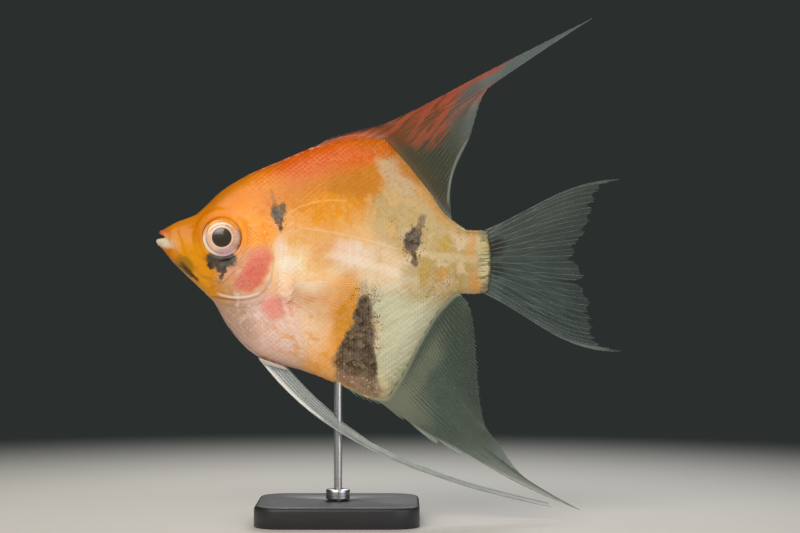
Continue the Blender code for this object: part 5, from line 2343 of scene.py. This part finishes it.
@dataclass(frozen=True)
class Eye:
    """One eyeball: a shallow clear dome in front, with the pupil's edge just under it.

    Attributes:
        side: -1 for the left eye and 1 for the right one.
        word: The side's name.
        pupil_radius: Where the dome dips over the pupil.
        sides: Corners of its rings.
    """

    side: int
    word: str
    pupil_radius: float = 2.08
    sides: int = 96

    def build(self, fish: FishFrame, material: Material) -> Piece:
        """Make the eye.

        Args:
            fish: The fish's frame.
            material: Its finish.

        Returns:
            The closed eyeball.
        """
        front = []
        for radius in np.concatenate((np.linspace(0.0, 3.9, 30), (4.0, 4.08, 4.15, 4.19, 4.2))):
            dome = EYE_FRONT_DEPTH * math.sqrt(max(0.0, 1 - (radius / EYE_RADIUS) ** 2))
            dent = 0.05 * float(smooth(self.pupil_radius + 0.12, self.pupil_radius, radius))
            groove = 0.05 * math.exp(-((radius - 3.6) / 0.16) ** 2)
            front.append((float(radius), EYE_MID_Y + dome - dent - groove))
        back = [(EYE_RADIUS * math.cos(a), EYE_MID_Y - EYE_BACK_DEPTH * math.sin(a))
                for a in np.linspace(0.0, math.pi / 2, 12)[1:-1]]
        profile = front + back + [(0.0, EYE_MID_Y - EYE_BACK_DEPTH)]

        def place(across: Array, up: Array, out: float) -> Array:
            """World points of the eyeball's ring at a distance from the middle plane."""
            return fish.world(np.stack((EYE_X + across, self.side * out + 0 * across, EYE_Z + up), -1))

        return lathe(f"wet_eye_{self.word}", profile, self.sides, place, material)


# ---------------- stand


@dataclass(frozen=True)
class SatinPaint(Finish):
    """Satin powder paint on cast metal: dark, even, with a fine orange-peel surface."""

    name: str = "satin_black_powder_paint"
    tint: str = "#26272a"
    peel: float = 0.5

    def sockets(self, brush: Brush) -> dict:
        """A faintly mottled dark paint."""
        cloud = brush.ramp(brush.noise(6.0, 4.0), 0.3, 0.8, 0.12)
        rough = add(brush.tree, "MapRange",
                    {"Value": brush.noise(3.0, 4.0), "To Min": 0.36, "To Max": 0.5})
        return {"Base Color": brush.mix(cloud, self.tint, "#3a3b3f"), "Roughness": rough,
                "Normal": bumped(brush, brush.noise(self.peel, 2.0), 0.02)}


@dataclass(frozen=True)
class BrushedSteel(Finish):
    """Stainless bar, brushed round its axis: bright, with fine rings across the highlight."""

    name: str = "brushed_stainless_steel"
    tint: str = "#c6c7c9"
    line: float = 0.12

    def sockets(self, brush: Brush) -> dict:
        """Fine rings in roughness and height."""
        local = add(brush.tree, "Mapping", {"Vector": brush.solid, "Scale": (6.0, 6.0, self.line)},
                    vector_type="TEXTURE")
        rings = add(brush.tree, "TexNoise", {"Vector": local, "Scale": 1.0})
        rough = add(brush.tree, "MapRange", {"Value": rings, "To Min": 0.2, "To Max": 0.42})
        return {"Base Color": brush.mix(brush.ramp(rings, 0.4, 0.6, 0.25), self.tint, "#8e9094"),
                "Metallic": 1.0, "Roughness": rough, "Normal": bumped(brush, rings, 0.01)}


@dataclass(frozen=True)
class Stand:
    """A flat base with eased edges, an upright rod and the collar at its foot.

    Attributes:
        corner: Radius of the base's corners in plan.
        ease: Radius of its top edge.
        foot: Chamfer of its lower edge.
        hole: Clear radius round the rod.
        socket_depth: How deep the rod sits in the base.
        corner_steps: Steps round each corner.
        chamfer: Chamfer of the hole, the rod and the collar.
        groove: Depth of the collar's grooves.
    """

    corner: float = 6.0
    ease: float = 0.8
    foot: float = 0.25
    hole: float = 1.1
    socket_depth: float = 2.9
    corner_steps: int = 12
    chamfer: float = 0.2
    groove: float = 0.12

    def base(self, material: Material) -> Piece:
        """The flat base, from its solid's box.

        Args:
            material: Its finish.

        Returns:
            The closed base, with a hole for the rod.
        """
        low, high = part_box("stand_base")
        half_x, half_y = (high.x - low.x) / 2 / MM, (high.y - low.y) / 2 / MM
        top = high.z / MM
        turns = np.concatenate([np.linspace(q, q + 1, self.corner_steps + 1) * math.pi / 2
                                for q in range(4)])
        signs = np.repeat(((1, 1), (-1, 1), (-1, -1), (1, -1)), self.corner_steps + 1, axis=0)
        centre = signs * (half_x - self.corner, half_y - self.corner)
        round_it = np.stack((np.cos(turns), np.sin(turns)), -1)
        rows = [(self.foot, 0.0), (0.0, self.foot)]
        rows += [(self.ease * (1 - math.cos(a)), top - self.ease * (1 - math.sin(a)))
                 for a in np.linspace(0.0, math.pi / 2, 7)]
        rings = [np.column_stack((centre + round_it * (self.corner - inset),
                                  np.full(len(turns), height))) for inset, height in rows]
        bearing = np.arctan2(rings[-1][:, 1], rings[-1][:, 0])
        for radius, height in ((self.hole + self.chamfer, top), (self.hole, top - self.chamfer),
                               (self.hole, top - self.socket_depth)):
            rings.append(np.column_stack((radius * np.cos(bearing), radius * np.sin(bearing),
                                          np.full(len(turns), height))))
        count = len(turns)
        faces = [(r * count + i, r * count + (i + 1) % count, (r + 1) * count + (i + 1) % count,
                  (r + 1) * count + i) for r in range(len(rings) - 1) for i in range(count)]
        faces += [tuple(range(count)), tuple(range((len(rings) - 1) * count, len(rings) * count))]
        made = build_mesh("stand_base_finished", np.concatenate(rings) * MM, faces, material)
        made.data.set_sharp_from_angle(angle=math.radians(50))
        face_outwards(made)
        return made

    def turned(self, name: str, profile: Sequence[tuple[float, float]], material: Material) -> Piece:
        """A piece turned about the stand's upright axis, with crisp edges."""
        made = lathe(name, profile, 64, lambda x, y, z: np.stack((x, y, z + 0 * x), -1) * MM, material)
        made.data.set_sharp_from_angle(angle=math.radians(40))
        return made

    def upright(self, solid: str) -> tuple[float, float, float]:
        """Radius, foot and head of a turned solid, in millimetres."""
        low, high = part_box(solid)
        return high.x / MM, low.z / MM, high.z / MM

    def rod(self, material: Material) -> Piece:
        """The upright rod, from its solid's box.

        Args:
            material: Its finish.

        Returns:
            The closed rod, with chamfered ends.
        """
        radius, foot, head = self.upright("stand_rod")
        edge = self.chamfer
        return self.turned("stand_rod_finished",
                           ((0.0, foot), (radius - edge, foot), (radius, foot + edge),
                            (radius, head - edge), (radius - edge, head), (0.0, head)), material)

    def collar(self, material: Material) -> Piece:
        """The collar round the rod's foot, with two fine turned grooves.

        Args:
            material: Its finish.

        Returns:
            The closed collar.
        """
        radius, foot, head = self.upright("stand_collar")
        inner, edge, cut = self.hole + 0.1, 2 * self.chamfer, self.groove
        outside = [(radius - edge / 2, foot), (radius, foot + edge / 2)]
        for share in (0.4, 0.62):
            at = foot + (head - foot) * share
            outside += [(radius, at - cut), (radius - cut, at), (radius, at + cut)]
        outside += [(radius, head - edge), (radius - edge * 0.3, head - edge * 0.3),
                    (radius - edge, head), (inner, head), (inner, foot)]
        return self.turned("stand_collar_finished", [(inner, foot)] + outside, material)

    def build(self, fish: FishFrame) -> None:
        """Make, dress and tie the three pieces."""
        paint, steel = SatinPaint().make(fish), BrushedSteel().make(fish)
        join_body(self.base(paint), "stand_paint", "stand_base")
        join_body(self.rod(steel), "stand_steel", "stand_rod")
        join_body(self.collar(steel), "stand_steel", "stand_collar")


# ---------------- studio


@dataclass(frozen=True)
class Lamp:
    """A soft rectangular light aimed at the fish.

    Attributes:
        place: World place in millimetres.
        width: Side of the light in millimetres.
        watts: Its power.
        tint: Its colour.
    """

    name: str
    place: tuple[float, float, float]
    width: float
    watts: float
    tint: str = "#ffffff"


@dataclass(frozen=True)
class Studio:
    """Plain pale floor, soft lights and the camera on the fish's left.

    Attributes:
        aim: What the camera looks at, in fish millimetres.
        distance: How far from it the camera stands.
        lens: The camera's focal length.
        backdrop: Colour of the world.
        floor_tint: Colour of the floor.
        floor_radius: Its radius in millimetres.
        floor_sides: Its corners.
        lamp_aim: What the lamps point at, in world metres.
        lamps: The soft lights.
    """

    aim: tuple[float, float, float] = (52.55, 0.0, -5.7)
    distance: float = 479.0
    lens: float = 100.0
    backdrop: str = "#2b302f"
    floor_tint: str = "#d6d4cf"
    floor_radius: float = 260.0
    floor_sides: int = 96
    lamp_aim: tuple[float, float, float] = (0.01, 0.0, 0.055)
    lamps: tuple[Lamp, ...] = (
        Lamp("key", (-200.0, -390.0, 340.0), 480.0, 2.6, "#fff6ea"),
        Lamp("fill", (340.0, -330.0, 130.0), 420.0, 1.05, "#f4f6ff"),
        Lamp("rim", (60.0, 330.0, 330.0), 300.0, 1.0),
    )

    def floor(self) -> Piece:
        """A round pale floor that fades out towards its edge."""
        turn = full_turn(self.floor_sides)
        points = np.stack((np.cos(turn), np.sin(turn), 0 * turn), -1) * self.floor_radius * MM
        material = new_material("pale_paper_floor")
        tree = material.node_tree
        place = add(tree, "TexCoord", out="Object")
        radius = add(tree, "VectorMath", {0: place}, out="Value", operation="LENGTH")
        shown = add(tree, "MapRange",
                    {"Value": radius, "From Min": self.floor_radius * MM,
                     "From Max": self.floor_radius * 0.3 * MM}, interpolation_type="SMOOTHSTEP")
        shader = add(tree, "BsdfPrincipled",
                     {"Base Color": linear(self.floor_tint), "Roughness": 0.7, "Alpha": shown})
        add(tree, "OutputMaterial", {"Surface": shader})
        return build_mesh("floor", points, [tuple(range(self.floor_sides))], material)

    def light(self, lamp: Lamp) -> None:
        """Add one soft light, unseen itself.

        Args:
            lamp: The light.
        """
        data = bpy.data.lights.new(lamp.name, "AREA")
        data.size = lamp.width * MM
        data.energy = lamp.watts
        data.color = linear(lamp.tint)[:3]
        made = link_object(lamp.name, data)
        made.location = Vector(lamp.place) * MM
        aim = Vector(self.lamp_aim) - made.location
        made.rotation_euler = aim.to_track_quat("-Z", "Y").to_euler()
        made.visible_camera = False

    def camera(self, fish: FishFrame) -> None:
        """Set the camera square on to the fish's left side.

        Args:
            fish: The fish's frame.
        """
        data = bpy.data.cameras.new("camera")
        data.lens = self.lens
        data.sensor_width = 36.0
        data.clip_start, data.clip_end = 0.01, 20.0
        made = link_object("camera", data)
        aim = fish.world(np.array([self.aim]))[0]
        made.location = Vector(aim) - Vector((0.0, self.distance * MM, 0.0))
        made.rotation_euler = (math.pi / 2, 0.0, 0.0)
        bpy.context.scene.camera = made

    def build(self, fish: FishFrame) -> None:
        """Make floor, lights, world and camera.

        Args:
            fish: The fish's frame.
        """
        self.floor()
        for lamp in self.lamps:
            self.light(lamp)
        world = bpy.data.worlds.new("studio")
        world.use_nodes = True
        world.node_tree.nodes["Background"].inputs[0].default_value = linear(self.backdrop)
        scene = bpy.context.scene
        scene.world = world
        scene.view_settings.view_transform = "Standard"
        scene.cycles.transparent_max_bounces = 32
        self.camera(fish)


FLESH = ("head", "upper_jaw", "lower_jaw", "gill_cover_left", "gill_cover_right", "trunk", "tail_stalk")


def main() -> None:
    """Build the fish, its stand and the studio, in order."""
    logging.basicConfig(level=logging.INFO, format="%(message)s")
    fish = FishFrame.from_solids()
    form = BodyForm()
    skin = Skin(form, HeadRelief())
    Studio().build(fish)
    join_body(skin.build(fish, WetSkin().make(fish)), "fish_skin", *FLESH)
    coat, scale_finish = ScaleCoat(skin), ScalePearl().make(fish)
    fins: list[FinSheet] = [dorsal_fin(form), anal_fin(form), tail_fin()]
    eye_finish = WetEye().make(fish)
    for side, word in ((-1, "left"), (1, "right")):
        join_body(coat.build(fish, scale_finish, side, word), "fish_skin")
        fins += [pelvic_fin(side, word), pectoral_fin(side, word)]
        join_body(Eye(side, word).build(fish, eye_finish), "eye_gloss", f"eye_{word}")
    for fin in fins:
        fin.build(fish)
    Stand().build(fish)


if __name__ == "__main__":
    main()
